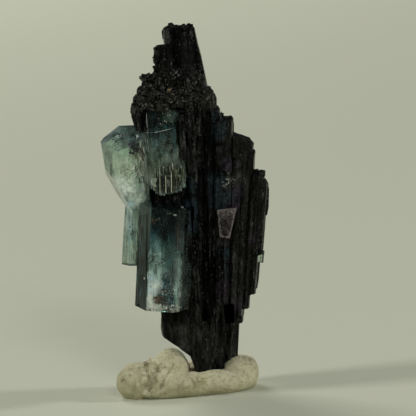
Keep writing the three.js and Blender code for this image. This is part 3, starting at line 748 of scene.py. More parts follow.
class Inside:
    """The inclusions of one crystal, kept within its flat faces and gathered for add_object."""

    def __init__(self, seed, faces):
        self.rng = np.random.default_rng(seed)
        self.planes = [(np.array(Vector(d).normalized()), np.array(p, float)) for d, p in faces]
        self.parts = []

    def under(self, px, py, depth=0.0):
        """The point at a place in the frame, depth millimetres behind the crystal's front."""
        start = seen(px, py, -20)
        ahead = seen(px, py, 0) - start
        ahead /= np.linalg.norm(ahead)
        entry = max((p - start) @ n / (ahead @ n) for n, p in self.planes if ahead @ n < -0.05)
        return start + ahead * (entry + depth)

    def somewhere(self, box):
        """A place in a box in the frame."""
        return self.rng.uniform(box[0], box[2]), self.rng.uniform(box[1], box[3])

    def put(self, verts, faces, material, depth=WALL, fade=None):
        """Keeps an inclusion inside the faces. At depth 0 or less it stands out of them a little."""
        margin = WALL if depth > 0 else depth - OPEN_RIM
        verts = np.array(verts, float)
        for _ in range(2):
            for normal, point in self.planes:
                over = (verts - point) @ normal + margin
                verts -= np.clip(over, 0, None)[:, None] * normal
        self.parts.append((verts, faces, material, np.ones(len(verts)) if fade is None else fade))

    def veil(self, px, py, depth, wide, tall, material, tilt=0.0):
        """A sheet at a place in the frame; wide and tall are half sizes in millimetres."""
        c, s = math.cos(tilt), math.sin(tilt)
        across = (wide * c, VEIL_SLOPE * wide, wide * s)
        upward = (-tall * s, -VEIL_SLOPE * tall, tall * c)
        verts, faces, fade = sheet(self.under(px, py, depth), across, upward, self.rng)
        self.put(verts, faces, material, fade=fade)

    def thread(self, places, depth, width, material):
        """A thread through places in the frame. At depth 0 or less it is a crack or rib in the surface."""
        verts, faces = ribbon([self.under(px, py, depth) for px, py in places], width)
        self.put(verts, faces, material, depth)

    def wisps(self, box, depth, number, length, width, material, upright=0.0):
        """Short bent threads scattered over a box in the frame; upright 1 makes them all vertical."""
        for _ in range(number):
            px, py = self.somewhere(box)
            angle = math.pi / 2 + (1 - upright) * self.rng.uniform(-1.6, 1.6)
            bend = (1 - upright) * self.rng.uniform(-0.9, 0.9)
            start = self.under(px, py, depth + (self.rng.uniform(0, 0.5) if depth else 0))
            reach = length * self.rng.uniform(0.5, 1.2)
            points = []
            for k in range(5):
                t = k / 4 - 0.5
                turn = angle + bend * t
                points.append(start + reach * t * np.array([math.cos(turn), 0.15 * bend, math.sin(turn)]))
            verts, faces = ribbon(points, width * self.rng.uniform(0.6, 1.3))
            self.put(verts, faces, material, depth)

    def specks(self, box, depth, number, size, material):
        """Small uneven lumps scattered over a box in the frame."""
        for _ in range(number):
            px, py = self.somewhere(box)
            place = self.under(px, py, depth + (self.rng.uniform(0, 0.3) if depth else 0))
            across = size * self.rng.uniform(0.5, 1.3)
            lump = (2 * across, 2 * across, 2.4 * across)
            verts, faces = grain_mesh(lump, self.rng.uniform(-1, 1, 3), place, self.rng)
            self.put(verts, faces, material, depth)

    def fill(self, found, kinds):
        """Makes what a table of inclusions lists. kinds gives each material by its name."""
        for (px, py), depth, (wide, tall), kind, *tilt in found["veils"]:
            self.veil(px, py, depth, wide, tall, kinds[kind], *tilt)
        for places, depth, width, kind in found["threads"]:
            self.thread(places, depth, width, kinds[kind])
        for box, depth, number, length, width, kind, *upright in found["wisps"]:
            self.wisps(box, depth, number, length, width, kinds[kind], *upright)
        for box, depth, number, size, kind in found["specks"]:
            self.specks(box, depth, number, size, kinds[kind])
        return self.parts


# The milky part of each clear crystal by height, and what changes it, as clear_material explains.
# The lower crystal's pale, cloudy foot is partly its own milky cloud and partly painted light that shines
# through it from behind and below.
LOWER_LEVELS = [
    (12.9, 0.42, (0.62, 0.66, 0.54)), (15.5, 0.42, (0.70, 0.84, 0.76)), (18.0, 0.36, (0.46, 0.66, 0.57)),
    (20.5, 0.30, (0.35, 0.54, 0.47)), (22.5, 0.14, (0.24, 0.44, 0.42)), (24.5, 0.03, (0.20, 0.40, 0.42)),
    (28.0, 0.015, (0.20, 0.36, 0.36)),
]
LOWER_STRIPS = [(-0.5, -1.0, 1.5), (-0.5, 0.0, 0.72), (1.5, 1.7, 0.5), (1.9, 2.1, 2.2), (2.5, 2.75, 0.1)]
LOWER_MATTE = (-2.15, -2.35)
UPPER_LEVELS = [
    (18.7, 0.08, (0.56, 0.64, 0.56)), (22.0, 0.14, (0.60, 0.74, 0.66)), (27.0, 0.42, (0.66, 0.82, 0.76)),
    (30.0, 0.38, (0.62, 0.78, 0.68)), (33.0, 0.34, (0.60, 0.74, 0.56)), (36.0, 0.26, (0.56, 0.72, 0.58)),
    (38.0, 0.14, (0.44, 0.64, 0.60)), (39.5, 0.05, (0.30, 0.46, 0.42)), (42.0, 0.04, (0.26, 0.40, 0.36)),
]
UPPER_STRIPS = [(-3.0, -2.4, 0.45)]
UPPER_MATTE = (-40, -41)  # far outside the crystal, which has no dull face
# Clouds: place in the frame and depth y, radius, softness, cloudiness, colour.
LOWER_PATCHES = [
    # The four palest clouds at the foot are partly milky cloud and partly painted light from behind and
    # below.
    ((151, 279, -8.6), 0.9, 0.5, 0.85, (0.62, 0.82, 0.88)),
    ((151, 288, -8.6), 0.9, 0.5, 0.80, (0.70, 0.86, 0.88)),
    ((150, 301, -8.6), 1.0, 0.5, 0.90, (0.88, 0.90, 0.78)),
    ((158, 286, -8.6), 0.9, 0.5, 0.97, (0.90, 0.99, 0.92)),
    ((174, 306, -8.4), 0.7, 0.4, 0.60, (0.60, 0.68, 0.56)),
    ((166, 292, -8.6), 1.2, 0.5, 0.06, (0.30, 0.44, 0.42)),
    ((159, 299, -8.5), 0.7, 0.4, 0.08, (0.30, 0.40, 0.30)),
    ((169, 278, -8.6), 1.1, 0.4, 0.12, (0.22, 0.40, 0.40)),
    ((169, 262, -8.6), 1.0, 0.6, 0.16, (0.26, 0.42, 0.40)),
    ((171, 300, -8.4), 1.0, 0.4, 0.10, (0.30, 0.44, 0.42)),
    ((178, 262, -8.2), 0.7, 0.4, 0.40, (0.40, 0.54, 0.50)),
    ((177, 276, -8.2), 0.7, 0.4, 0.34, (0.40, 0.54, 0.50)),
]
UPPER_PATCHES = [
    ((151, 121, -7.9), 1.0, 0.5, 0.02, (0.10, 0.24, 0.30)),
    ((160, 116, -7.9), 1.0, 0.5, 0.03, (0.16, 0.28, 0.26)),
    ((171, 117, -7.9), 0.8, 0.4, 0.22, (0.34, 0.46, 0.40)),
    ((171, 180, -7.9), 1.9, 0.5, 0.02, (0.50, 0.56, 0.40)),
    ((163, 182, -7.9), 1.3, 0.5, 0.02, (0.50, 0.56, 0.40)),
    ((179, 176, -7.6), 1.3, 0.5, 0.02, (0.50, 0.56, 0.40)),
    ((108, 147, -4.5), 1.2, 0.8, 0.50, (0.52, 0.66, 0.48)),
    ((136, 148, -5.9), 0.9, 0.4, 0.02, (0.10, 0.18, 0.20)),
]
# The same on the left crystal's front, where only the place in the frame is given. Coats are unbroken.
LEFT_COATS = [
    ((113, 131), 0.9, 0.6, 0.80, (0.25, 0.29, 0.23)),
    ((107, 134), 0.8, 0.5, 0.80, (0.28, 0.32, 0.26)),
    ((102, 148), 0.7, 0.6, 0.80, (0.20, 0.26, 0.19)),
    ((104, 163), 0.7, 0.5, 0.85, (0.13, 0.17, 0.115)),
    ((107, 174), 0.7, 0.5, 0.70, (0.20, 0.26, 0.18)),
]
LEFT_PATCHES = [
    ((121, 129), 0.8, 0.4, 0.70, (0.20, 0.28, 0.25)),
    ((121, 164), 1.1, 0.7, 0.60, (0.66, 0.78, 0.62)),
    ((134, 147), 0.7, 0.4, 0.70, (0.02, 0.035, 0.035)),
    ((136, 158), 0.5, 0.3, 0.60, (0.16, 0.15, 0.08)),
    # The four palest clouds, low on the front and on the lower bevel, are partly milky cloud and partly
    # painted highlights and painted light shining through the bevel.
    ((127, 188), 1.3, 0.7, 0.97, (0.90, 0.97, 0.86)),
    ((121, 182), 0.9, 0.5, 0.90, (0.80, 0.90, 0.80)),
    ((137, 198), 1.1, 0.6, 0.95, (0.78, 0.90, 0.80)),
    ((130, 204), 0.8, 0.5, 0.90, (0.60, 0.84, 0.90)),
]
# What is seen inside each crystal. Places and boxes are in the camera's frame. Depths behind the front,
# sizes, lengths and widths are in millimetres.
# veils: place, depth, half sizes, material and tilt. threads: places, depth, width and material.
# wisps: box, depth, number, length, width, material and how upright.
# specks: box, depth, number, size, material.
LOWER_INSIDE = {
    "veils": [
        # The white veils at (151, 285) and (160, 305) are partly healed cracks and partly painted light
        # shining through the foot.
        ((151, 285), 0.4, (0.9, 2.6), "veil_white", 0.05),
        ((164, 258), 0.9, (2.4, 1.9), "veil_blue", 0.4),
        ((152, 240), 0.5, (1.3, 2.6), "veil_blue", -0.1),
        ((164, 221), 0.25, (1.5, 1.8), "veil_dark", 0.3),
        ((174, 232), 0.3, (0.6, 2.2), "veil_dark"),
        ((157, 262), 0.4, (1.6, 0.9), "veil_white", 0.6),
        ((160, 305), 0.5, (2.2, 0.8), "veil_white", 0.1),
        ((168, 286), 0.3, (1.2, 1.7), "veil_dark", -0.3),
        ((160, 214), 0.2, (2.0, 1.6), "veil_dark", 0.1),
        ((170, 216), 0.35, (1.2, 1.9), "veil_dark", -0.4),
        ((168, 244), 0.3, (1.0, 1.6), "veil_green", 0.3),
    ],
    "threads": [
        ([(178, 222), (178.3, 236), (178, 250)], 0, 0.05, "rust"),
        ([(176.3, 222), (176.3, 236), (176.2, 250)], 0, 0.12, "black"),
        ([(173.4, 250), (173.0, 270), (172.6, 292)], 0, 0.05, "black"),
        # Painted highlight: a short white glint.
        ([(148.5, 271.5), (150.5, 270.8), (152.5, 271.2)], 0, 0.07, "white"),
        ([(148, 262), (151, 259.5), (155, 257)], 0, 0.035, "white"),
        ([(149, 265), (153, 262), (157, 258)], 0, 0.035, "teal"),
        ([(151, 266), (156, 262.5), (161, 262)], 0, 0.03, "white"),
        ([(166, 226), (166.2, 238), (166, 246)], 0.1, 0.05, "black"),
        ([(147.4, 225), (147, 250), (146.6, 275), (146.2, 302)], 0.05, 0.08, "black"),
        ([(174.5, 252), (178, 251.3), (181, 251.6)], 0.06, 0.06, "teal"),
    ],
    "wisps": [
        ((149, 252, 167, 276), 0, 14, 1.0, 0.025, "white"),
        ((148, 210, 174, 250), 0.15, 14, 1.2, 0.03, "teal", 0.97),
        ((148, 274, 156, 300), 0, 8, 1.2, 0.03, "white", 0.95),
        ((150, 303, 178, 309), 0, 16, 0.6, 0.035, "white"),
        ((150, 302, 176, 309), 0, 16, 0.5, 0.04, "black"),
        ((163, 276, 174, 302), 0, 18, 0.9, 0.04, "black", 0.85),
        ((163, 280, 174, 302), 0, 14, 0.9, 0.035, "teal", 0.8),
        ((137, 212, 145, 300), 0, 44, 2.6, 0.045, "black", 0.99),
        ((137, 212, 145, 300), 0, 16, 1.6, 0.025, "teal", 0.99),
    ],
    "specks": [
        ((148, 303, 178, 308), 0, 30, 0.08, "white"),
        ((147, 297, 155, 307), 0, 16, 0.15, "white"),
        ((153, 295, 163, 302), 0, 30, 0.08, "rust"),
        ((154, 295, 168, 303), 0, 34, 0.09, "black"),
        ((152, 284, 160, 293), 0.05, 8, 0.1, "black"),
        ((163, 279, 174, 301), 0, 46, 0.07, "black"),
        ((162, 279, 173, 300), 0, 22, 0.06, "teal"),
        ((160, 284, 176, 303), 0, 16, 0.05, "white"),
        ((160, 282, 174, 302), 0, 16, 0.055, "rust"),
        ((147, 203, 170, 212), 0.08, 14, 0.16, "black"),
        ((148, 206, 172, 232), 0, 26, 0.04, "green"),
        ((151, 217, 157, 224), 0, 12, 0.055, "rust"),
        # Painted highlights: white glints on the front.
        ((174, 213, 176.5, 216), 0, 3, 0.08, "white"),
        ((182, 205, 184.5, 208), 0, 3, 0.08, "white"),
        ((144, 275, 146, 278), 0, 2, 0.1, "white"),
    ],
}
UPPER_INSIDE = {
    "veils": [
        ((160, 129), 0.9, (2.4, 0.7), "veil_blue", 0.1),
        ((151, 122), 0.25, (0.8, 1.1), "veil_dark", 0.2),
        ((155, 115), 0.4, (1.5, 1.0), "veil_dark", 0.2),
        ((167, 119), 0.5, (1.2, 1.5), "veil_green", -0.3),
        ((160, 150), 0.9, (2.3, 2.5), "veil_blue", 0.3),
        ((158, 160), 0.6, (2.2, 1.5), "veil_green", -0.2),
        ((166, 144), 0.25, (0.8, 1.5), "veil_dark", -0.4),
        ((174.8, 140), 0.12, (0.22, 3.4), "veil_blue"),
        ((163, 181), 0.3, (1.4, 0.9), "veil_dark", 0.1),
        ((177, 178), 0.3, (0.9, 1.1), "veil_dark", 0.1),
        ((154.5, 181), 0.08, (0.35, 1.0), "veil_white", 0.1),
    ],
    "threads": [
        ([(146, 133.6), (155, 133.8), (166, 131.5), (175, 129)], 0, 0.035, "white"),
        ([(175.4, 130), (175.6, 145), (175.2, 160)], 0.06, 0.05, "teal"),
        # On the teeth at the crystal's foot: the cream strips are painted reflections on their facets, the
        # black strips between them painted shade.
        ([(154.6, 184), (154.8, 191.0)], -0.12, 0.08, "cream"),
        ([(158.0, 182), (158.2, 192.4)], -0.1, 0.16, "black"),
        ([(160.6, 176), (160.8, 193.2)], -0.12, 0.10, "cream"),
        ([(163.6, 172), (163.8, 193.6)], -0.1, 0.17, "black"),
        ([(166.4, 176), (166.6, 193.6)], -0.12, 0.15, "cream"),
        ([(169.2, 170), (169.4, 193.4)], -0.1, 0.17, "black"),
        ([(171.8, 172), (172.0, 192.6)], -0.12, 0.14, "cream"),
        ([(174.2, 174), (174.4, 191.8)], -0.1, 0.15, "black"),
        ([(176.6, 170), (176.8, 191.2)], -0.12, 0.13, "cream"),
        ([(179.4, 172), (179.6, 190.2)], -0.1, 0.15, "black"),
        ([(182.0, 166), (182.0, 188.0)], -0.12, 0.07, "cream"),
        ([(160, 193), (166, 194.4), (173, 193.4), (180, 190.4)], 0, 0.05, "white"),
    ],
    "wisps": [
        ((147, 110, 175, 165), 0.2, 22, 1.1, 0.028, "teal", 0.6),
        # Upright cream and white wisps on the teeth are painted reflections, the black ones painted shade.
        ((160, 168, 184, 178), 0, 18, 0.6, 0.035, "cream", 0.7),
        ((162, 168, 184, 182), 0, 12, 1.2, 0.04, "cream", 1.0),
        ((152, 172, 184, 188), 0, 12, 1.3, 0.035, "white", 1.0),
        ((156, 166, 184, 180), 0, 22, 1.3, 0.05, "black", 1.0),
        ((144, 118, 150, 176), 0, 16, 1.8, 0.05, "black", 0.96),
        ((144, 118, 150, 186), 0, 16, 1.5, 0.03, "white", 0.94),
    ],
    "specks": [
        ((164, 170, 182, 190), 0.08, 26, 0.15, "black"),
        ((152.5, 178, 156, 186), 0, 9, 0.18, "white"),
        ((169.5, 135, 172.5, 139), 0, 5, 0.14, "black"),
        ((170.5, 150, 173, 154), 0, 4, 0.14, "black"),
        ((147, 118, 155, 129), 0.06, 14, 0.2, "black"),
        ((158, 112, 173, 127), 0, 14, 0.035, "cream"),
        ((150, 112, 174, 165), 0, 44, 0.06, "black"),
        ((151, 107, 156, 112), 0, 8, 0.06, "rust"),
        ((144, 124, 147, 160), 0, 9, 0.055, "rust"),
    ],
}
LEFT_INSIDE = {
    "veils": [
        ((114, 132), 0.15, (1.2, 0.7), "veil_blue", 0.7),
        ((121, 139), 0.12, (1.0, 0.5), "veil_dark", 0.9),
        ((135, 147), 0.12, (0.6, 1.0), "veil_dark", 0.35),
        ((137, 156), 0.15, (0.5, 1.0), "veil_dark", -0.5),
        ((133, 158), 0.12, (0.9, 0.7), "veil_yellow", -0.4),
        ((118, 160), 0.8, (2.0, 2.4), "veil_white", 0.5),
        ((131, 186), 0.5, (1.8, 1.6), "veil_white", -0.7),
        ((124, 191), 0.3, (1.6, 1.0), "veil_blue", -0.8),
        ((106, 150), 0.2, (0.7, 1.8), "veil_green", 0.1),
        ((118, 130), 0.1, (1.4, 0.4), "veil_dark", 0.55),
        ((110, 134), 0.1, (0.7, 0.4), "veil_dark", 0.7),
        ((134, 133), 0.12, (0.6, 0.9), "veil_dark", 0.1),
        ((127, 170), 0.4, (1.6, 0.7), "veil_yellow", 0.4),
        ((140, 178), 0.2, (0.9, 1.1), "veil_blue", 0.2),
    ],
    "threads": [
        ([(131.5, 181), (136, 177.5), (141, 170)], 0, 0.06, "white"),
        ([(133, 190), (136, 185), (137, 180)], 0, 0.09, "white"),
        ([(120, 178), (127, 172), (133, 170), (140, 163)], 0, 0.035, "cream"),
        ([(118, 170), (125, 167), (131, 162)], 0, 0.03, "green"),
        ([(122, 184), (129, 179), (134, 173), (141, 168)], 0, 0.03, "black"),
        # These two white threads are painted highlights along the lower bevel's edges.
        ([(123, 201), (127, 205.5), (131, 208)], 0, 0.08, "white"),
        ([(112, 186), (117, 194), (122, 201)], 0, 0.04, "white"),
        ([(113, 141), (118, 137), (126, 135)], 0, 0.035, "white"),
    ],
    "wisps": [
        ((136, 135, 146, 180), 0, 22, 1.4, 0.05, "black", 0.8),
        ((120, 162, 146, 184), 0, 16, 1.1, 0.035, "black", 0.2),
        ((118, 160, 146, 188), 0, 22, 1.3, 0.03, "white", 0.2),
        ((122, 162, 146, 180), 0.08, 16, 1.6, 0.05, "cream", 0.3),
        ((140, 122, 146, 168), 0, 14, 1.4, 0.03, "cream", 0.9),
    ],
    "specks": [
        ((141, 150, 146, 175), 0, 10, 0.06, "rust"),
        ((114, 134, 127, 143), 0, 22, 0.1, "black"),
        ((130, 141, 139, 154), 0, 26, 0.14, "black"),
        # Painted highlight: the white glint at the junction.
        ((137.0, 135.5, 140.0, 140.5), 0, 8, 0.08, "white"),
        ((141.0, 133.0, 142.5, 136.0), 0, 4, 0.07, "rust"),
        ((129, 154, 138, 161), 0, 14, 0.05, "rust"),
        ((120, 160, 146, 186), 0, 30, 0.04, "green"),
    ],
}
BACK_INSIDE = {
    "veils": [((133.5, 230), 0.1, (0.5, 2.8), "veil_blue"), ((133, 250), 0.1, (0.5, 2.0), "veil_green"),
              ((131.5, 228), 0.1, (0.3, 1.6), "veil_white")],
    "threads": [([(130.6, 212), (130.2, 232), (129.8, 262)], 0, 0.07, "teal"),
                ([(127.6, 214), (126.4, 235), (125.2, 258)], 0, 0.03, "white"),
                ([(124.4, 212), (123.4, 235), (122.4, 258)], 0, 0.04, "white"),
                ([(135.6, 214), (135.4, 236), (135.2, 262)], 0, 0.03, "black")],
    "wisps": [((124, 215, 135, 262), 0.08, 14, 1.6, 0.045, "white", 0.97),
              ((130, 215, 136, 262), 0, 8, 1.8, 0.03, "teal", 0.97),
              ((130, 215, 135, 262), 0.06, 4, 1.4, 0.04, "black", 0.97)],
    "specks": [((130, 222, 133, 240), 0, 8, 0.08, "black")],
}
# Growth ridges on the crystals' fronts: place across the frame, top and bottom in it, and radius.
LOWER_RIDGES = [(147.6, 214, 306, 0.3), (152.5, 246, 307, 0.35), (160.5, 208, 262, 0.3),
                (168.5, 236, 306, 0.34), (174.2, 208, 309, 0.38), (180.3, 252, 309, 0.42),
                (185.6, 214, 304, 0.36)]
UPPER_TEETH = [(154.5, 168, 189.0, 0.42), (158.6, 160, 193.6, 0.38), (162.6, 170, 195.2, 0.4),
               (166.8, 164, 194.2, 0.42), (171.0, 171, 193.6, 0.4), (175.2, 160, 192.6, 0.42),
               (179.4, 168, 191.2, 0.42), (183.2, 158, 187.6, 0.4), (149.5, 150, 181, 0.4),
               (172.6, 112, 150, 0.36)]
RIDGE_OUT = 0.07
TOOTH_OUT = 0.1
RIDGE_EDGE = 0.03
# Where the lower crystal's ends are chipped.
LOWER_CHIPS = [(150, 308), (156, 309), (161, 310), (165, 310), (170, 309.5), (176, 309), (183, 306),
               (139, 305), (153, 203), (163, 203), (172, 204)]
CHIP_SIZE = 0.55


def ridges(inside, rows, out, name):
    """Small six-sided prisms that stand out of a crystal's front by out millimetres."""
    made = []
    for i, (px, top, bottom, radius) in enumerate(rows):
        depth = radius * math.cos(math.pi / 6) - out
        turn = -4 + 3 * (i % 3)
        faces = hexagon_faces(inside.under(px, bottom, depth), inside.under(px, top, depth), radius, turn)
        made.append(temporary(f"{name}_{i}", *polyhedron(faces, 0, RIDGE_EDGE)))
    return made


def chips(inside, places, size, name):
    """Small grains that are cut out of a crystal's edge."""
    made = []
    for i, (px, py) in enumerate(places):
        turn = inside.rng.uniform(-1, 1, 3)
        grain = grain_mesh((size, size, size), turn, inside.under(px, py), inside.rng)
        made.append(temporary(f"{name}_{i}", *grain))
    return made


# The schorl
FAN = {"x": 1.5, "y": 0.5, "level": 25, "rate": 0.013}
SPIRE_TOP = 52.4
LEDGE_TOP = 44.2
FOOT_BOTTOM = 1.4
# Each column: its sides in x and y in the plan at the fan's level, its bottom and top, and its top's lean.
COLUMNS = [
    ((0.0, 4.3), (-2.3, 2.7), (5, SPIRE_TOP), (0.03, -0.02)),
    ((-0.5, 1.8), (-1.9, 1.9), (50.6, SPIRE_TOP + 0.45), (0.12, -0.03)),
    ((-0.4, 1.3), (-1.6, 2.2), (12, 51.4), (0.1, 0.1)),
    ((-1.65, 0.6), (-2.0, 1.8), (15, 50.2), (0.1, 0.05)),
    ((-1.2, 1.4), (0.6, 3.2), (12, 47.8), (0.2, -0.3)),
    ((2.2, 4.6), (0.2, 3.6), (10, 46.6), (-0.2, -0.3)),
    ((-2.0, 0.2), (-2.6, 1.6), (14, 47.0), (0.3, 0.1)),
    ((-2.7, -0.8), (-2.9, 1.9), (12, 45.9), (0.3, 0.1)),
    ((-3.4, -1.5), (-3.4, 1.4), (10, 45.1), (0.2, 0.1)),
    ((-4.0, -2.0), (-3.8, 1.0), (9, 44.5), (0.2, 0.1)),
    ((-4.7, -3.1), (-5.6, -1.2), (38.7, 42.6), (0.2, 0.2)),
    ((-3.9, -1.4), (-6.2, -1.6), (42.0, LEDGE_TOP - 0.4), (0.1, 0.25)),
    ((-2.2, -0.2), (-6.9, -1.5), (41.6, LEDGE_TOP - 0.8), (-0.1, 0.25)),
    ((-0.8, 1.5), (-6.5, -1.4), (42.0, LEDGE_TOP - 0.5), (0.1, 0.25)),
    ((1.2, 2.7), (-5.9, -1.2), (40.0, LEDGE_TOP - 0.9), (-0.1, 0.25)),
    ((2.4, 3.8), (-5.4, -1.0), (38.0, LEDGE_TOP - 0.6), (-0.1, 0.25)),
    ((3.4, 4.9), (-4.4, 2.0), (4, 43.5), (0, 0.05)),
    ((4.3, 5.6), (-3.6, 2.4), (4, 41.1), (-0.6, 0.05)),
    ((5.3, 7.25), (-3.9, 2.2), (5, 39.4), (0, 0.02)),
    ((6.9, 9.9), (-3.0, 2.8), (9.6, 36.3), (-0.5, 0.05)),
    ((8.6, 10.2), (-2.2, 1.9), (12, 34.4), (-0.1, 0.1)),
    ((9.4, 11.3), (-2.3, 2.6), (13.6, 31.2), (-0.2, 0.05)),
    ((10.6, 12.35), (-1.9, 1.7), (19.3, 30.4), (-1.3, 0.05)),
    ((10.2, 11.8), (-1.8, 2.2), (13.6, 26), (0, 0)),
    ((9.2, 10.8), (-2.2, 2.0), (11.6, 30), (0, 0)),
    ((8.2, 9.9), (-2.7, 2.4), (10.3, 30), (0, 0)),
    ((0.1, 1.5), (-6.4, -1.0), (34.3, 42.6), (0, 0.3)),
    ((0.3, 1.7), (-7.2, -1.0), (19.8, 29.4), (-0.4, 0.5)),
    ((-0.2, 1.4), (-4.6, -1.0), (6, 40), (0, 0)),
    ((1.2, 2.6), (-6.0, -1.0), (22.6, 42.5), (0, 0.3)),
    ((1.1, 2.7), (-5.1, -1.0), (5, 30), (0, 0)),
    ((2.3, 3.9), (-4.3, -1.0), (4, 42), (0, 0.2)),
    ((2.6, 3.6), (-5.2, -2.0), (33.8, 42.8), (0, 0.5)),
    ((3.6, 4.7), (-5.7, -1.0), (9, 42.2), (0.2, 0.6)),
    ((4.6, 5.8), (-5.0, -1.0), (36.4, 40.6), (-0.3, 0.6)),
    ((4.6, 5.9), (-4.2, -1.0), (4, 37), (0, 0)),
    ((4.65, 5.85), (-5.4, -1.0), (12.8, 32.0), (0, 0.2)),
    ((5.7, 7.3), (-4.7, -1.0), (8.9, 34.2), (0.1, 0.5)),
    ((7.1, 8.5), (-4.2, -1.0), (9.4, 34.0), (-0.1, 0.5)),
    ((8.2, 9.6), (-3.4, -0.5), (10.8, 32.2), (-0.3, 0.5)),
    ((-4.4, -1.0), (-3.4, 2.8), (6, 42.4), (0.1, 0.1)),
    ((-3.6, 1.2), (-5.9, 0.5), (26.3, 31.3), (0, 0)),
    ((-5.2, -1.2), (-3.9, 1.6), (5, 24), (0.1, 0.1)),
    ((-2.6, 1.6), (-4.6, 1.5), (3, 22), (0, 0.1)),
    ((-4.2, -1.2), (1.2, 4.4), (9.4, 39.0), (0.3, -0.3)),
    ((-2.4, 1.0), (2.0, 5.9), (6, 42.4), (0.1, -0.3)),
    ((0.2, 3.2), (2.2, 6.5), (5, 40.4), (0.05, -0.25)),
    ((2.6, 5.6), (1.6, 6.1), (4, 38.2), (-0.1, -0.2)),
    ((5.0, 7.8), (1.2, 5.2), (6, 35.4), (-0.2, -0.3)),
    ((7.2, 9.8), (1.2, 4.6), (11.5, 32.0), (-0.3, -0.3)),
    ((9.0, 11.2), (0.9, 3.8), (15.2, 28.8), (-0.3, -0.4)),
    ((-0.8, 1.6), (5.0, 7.2), (9, 31.8), (0, -0.4)),
    ((1.8, 4.4), (5.2, 7.5), (7.5, 34.5), (0.1, -0.4)),
    ((4.2, 6.4), (4.6, 6.7), (10.5, 29.0), (-0.1, -0.4)),
    ((-3.2, -1.0), (4.0, 6.2), (12, 29.8), (0.2, -0.3)),
    ((0.7, 5.3), (-4.5, 2.2), (FOOT_BOTTOM, 16), (0, 0)),
    ((5.0, 7.0), (-3.9, 2.4), (1.6, 16), (0, 0)),
    ((6.2, 8.9), (-3.1, 2.6), (1.9, 14), (0, 0)),
    ((-4.2, 3.6), (-5.9, -1.5), (42.0, LEDGE_TOP - 0.7), (0, 0.22)),
]
RIBS_PER_COLUMN = 3
THIN_RIBS_PER_COLUMN = 7
GRANULAR_FROM = 41.2
# Patches of grains: each one's middle, half its spread, and how many grains it has.
GRAIN_PATCHES = [
    ((-2.4, -1.4, 45.2), (1.9, 2.2, 0.9), 24),
    ((-2.4, -5.2, 43.3), (3.0, 2.2, 0.7), 26),
    ((2.2, -4.8, 43.4), (2.2, 2.0, 0.7), 14),
    ((-1.2, -0.6, 48.2), (1.2, 1.6, 1.6), 12),
    ((-5.5, -2.6, 41.6), (0.4, 1.3, 1.2), 8),
    ((11.2, 0.2, 31.2), (0.9, 1.8, 0.4), 9),
    ((1.3, 0.2, 52.6), (1.7, 1.7, 0.3), 5),
]
# The crust of small broken grains, in the same way.
CRUST_PATCHES = [
    ((-2.9, -5.6, 43.0), (2.2, 0.6, 0.35), 120),
    ((-2.9, -4.2, 43.4), (2.4, 0.9, 0.35), 120),
    ((-2.6, -2.8, 43.9), (2.4, 0.8, 0.4), 110),
    ((-2.4, -1.8, 45.0), (1.9, 1.2, 0.9), 130),
    ((1.4, -5.2, 43.2), (2.2, 0.8, 0.35), 90),
    ((1.6, -3.6, 43.5), (2.4, 1.2, 0.4), 100),
    ((2.4, -2.4, 43.9), (2.2, 0.4, 0.8), 70),
    ((0.4, -2.3, 45.2), (1.5, 0.25, 1.3), 60),
    ((-1.4, -1.6, 47.6), (1.2, 0.9, 1.6), 70),
    ((-5.3, -2.6, 41.9), (0.4, 1.4, 1.1), 50),
    ((1.4, 0.2, 52.6), (1.7, 2.0, 0.15), 60),
]
CRUST_KINDS = 10
BOX_GAP = 0.005  # how far inside the CAD box the schorl stays
# What is broken off or sunk: an outline in x and z, between two places in y. The lower left end and the
# spire's right side are broken, and two square pits are open in front.
BREAKS = [
    ([(-12, 19.4), (-5.7, 19.0), (-3.9, 16.4), (-3.55, 11.4), (-3.75, 9.5), (-3.6, 8.4), (-1.1, 6.5),
      (0.3, 5.4), (1.05, 2.9), (1.2, -1), (-12, -1)], (-12, 12)),
    ([(3.3, 55), (3.36, 52.6), (3.8, 50), (4.15, 48.4), (4.85, 43.7), (9, 43.7), (9, 55)], (-12, 12)),
    ([(5.55, 9.9), (7.0, 9.9), (7.0, 12.7), (5.55, 12.7)], (-12, -1.6)),
    ([(2.45, 10.4), (3.15, 10.4), (3.15, 12.3), (2.45, 12.3)], (-12, -3.2)),
]


SQUARENESS = 3.4  # 2 would make a column round


def section(xs, ys, random):
    """An uneven, nearly square outline between two places in x and two in y."""
    sides = 16 if xs[1] - xs[0] > 2.4 else 12
    wide, deep = (xs[1] - xs[0]) / 2, (ys[1] - ys[0]) / 2
    corners = []
    for i in range(sides):
        angle = (i + 0.6 * random()) / sides * 2 * math.pi
        c, s = math.cos(angle), math.sin(angle)
        square = (abs(c) ** SQUARENESS + abs(s) ** SQUARENESS) ** (-1 / SQUARENESS)
        reach = square * ((0.93 if i % 2 else 1) - 0.04 * random())
        corners.append(((xs[0] + xs[1]) / 2 + wide * reach * c, (ys[0] + ys[1]) / 2 + deep * reach * s))
    return np.array(corners)


def striated(corners, spacing, rng, depth):
    """Fine points round an outline, and for each its outward direction and two profiles of fine grooves."""
    points, outward = [], []
    for a, b in zip(corners, np.roll(corners, -1, axis=0)):
        edge = b - a
        length = np.linalg.norm(edge)
        steps = max(2, round(length / spacing))
        normal = np.array([edge[1], -edge[0]]) / length
        for k in range(steps):
            points.append(a + edge * k / steps)
            outward.append(normal)
    profiles = []
    for _ in range(2):
        coarse = np.empty(0)
        while len(coarse) < len(points):
            coarse = np.append(coarse, np.repeat(rng.uniform(-1, 1), rng.integers(2, 5)))
        profiles.append(depth * (0.75 * coarse[: len(points)] + 0.25 * rng.uniform(-1, 1, len(points))))
    return np.array(points), np.array(outward), profiles


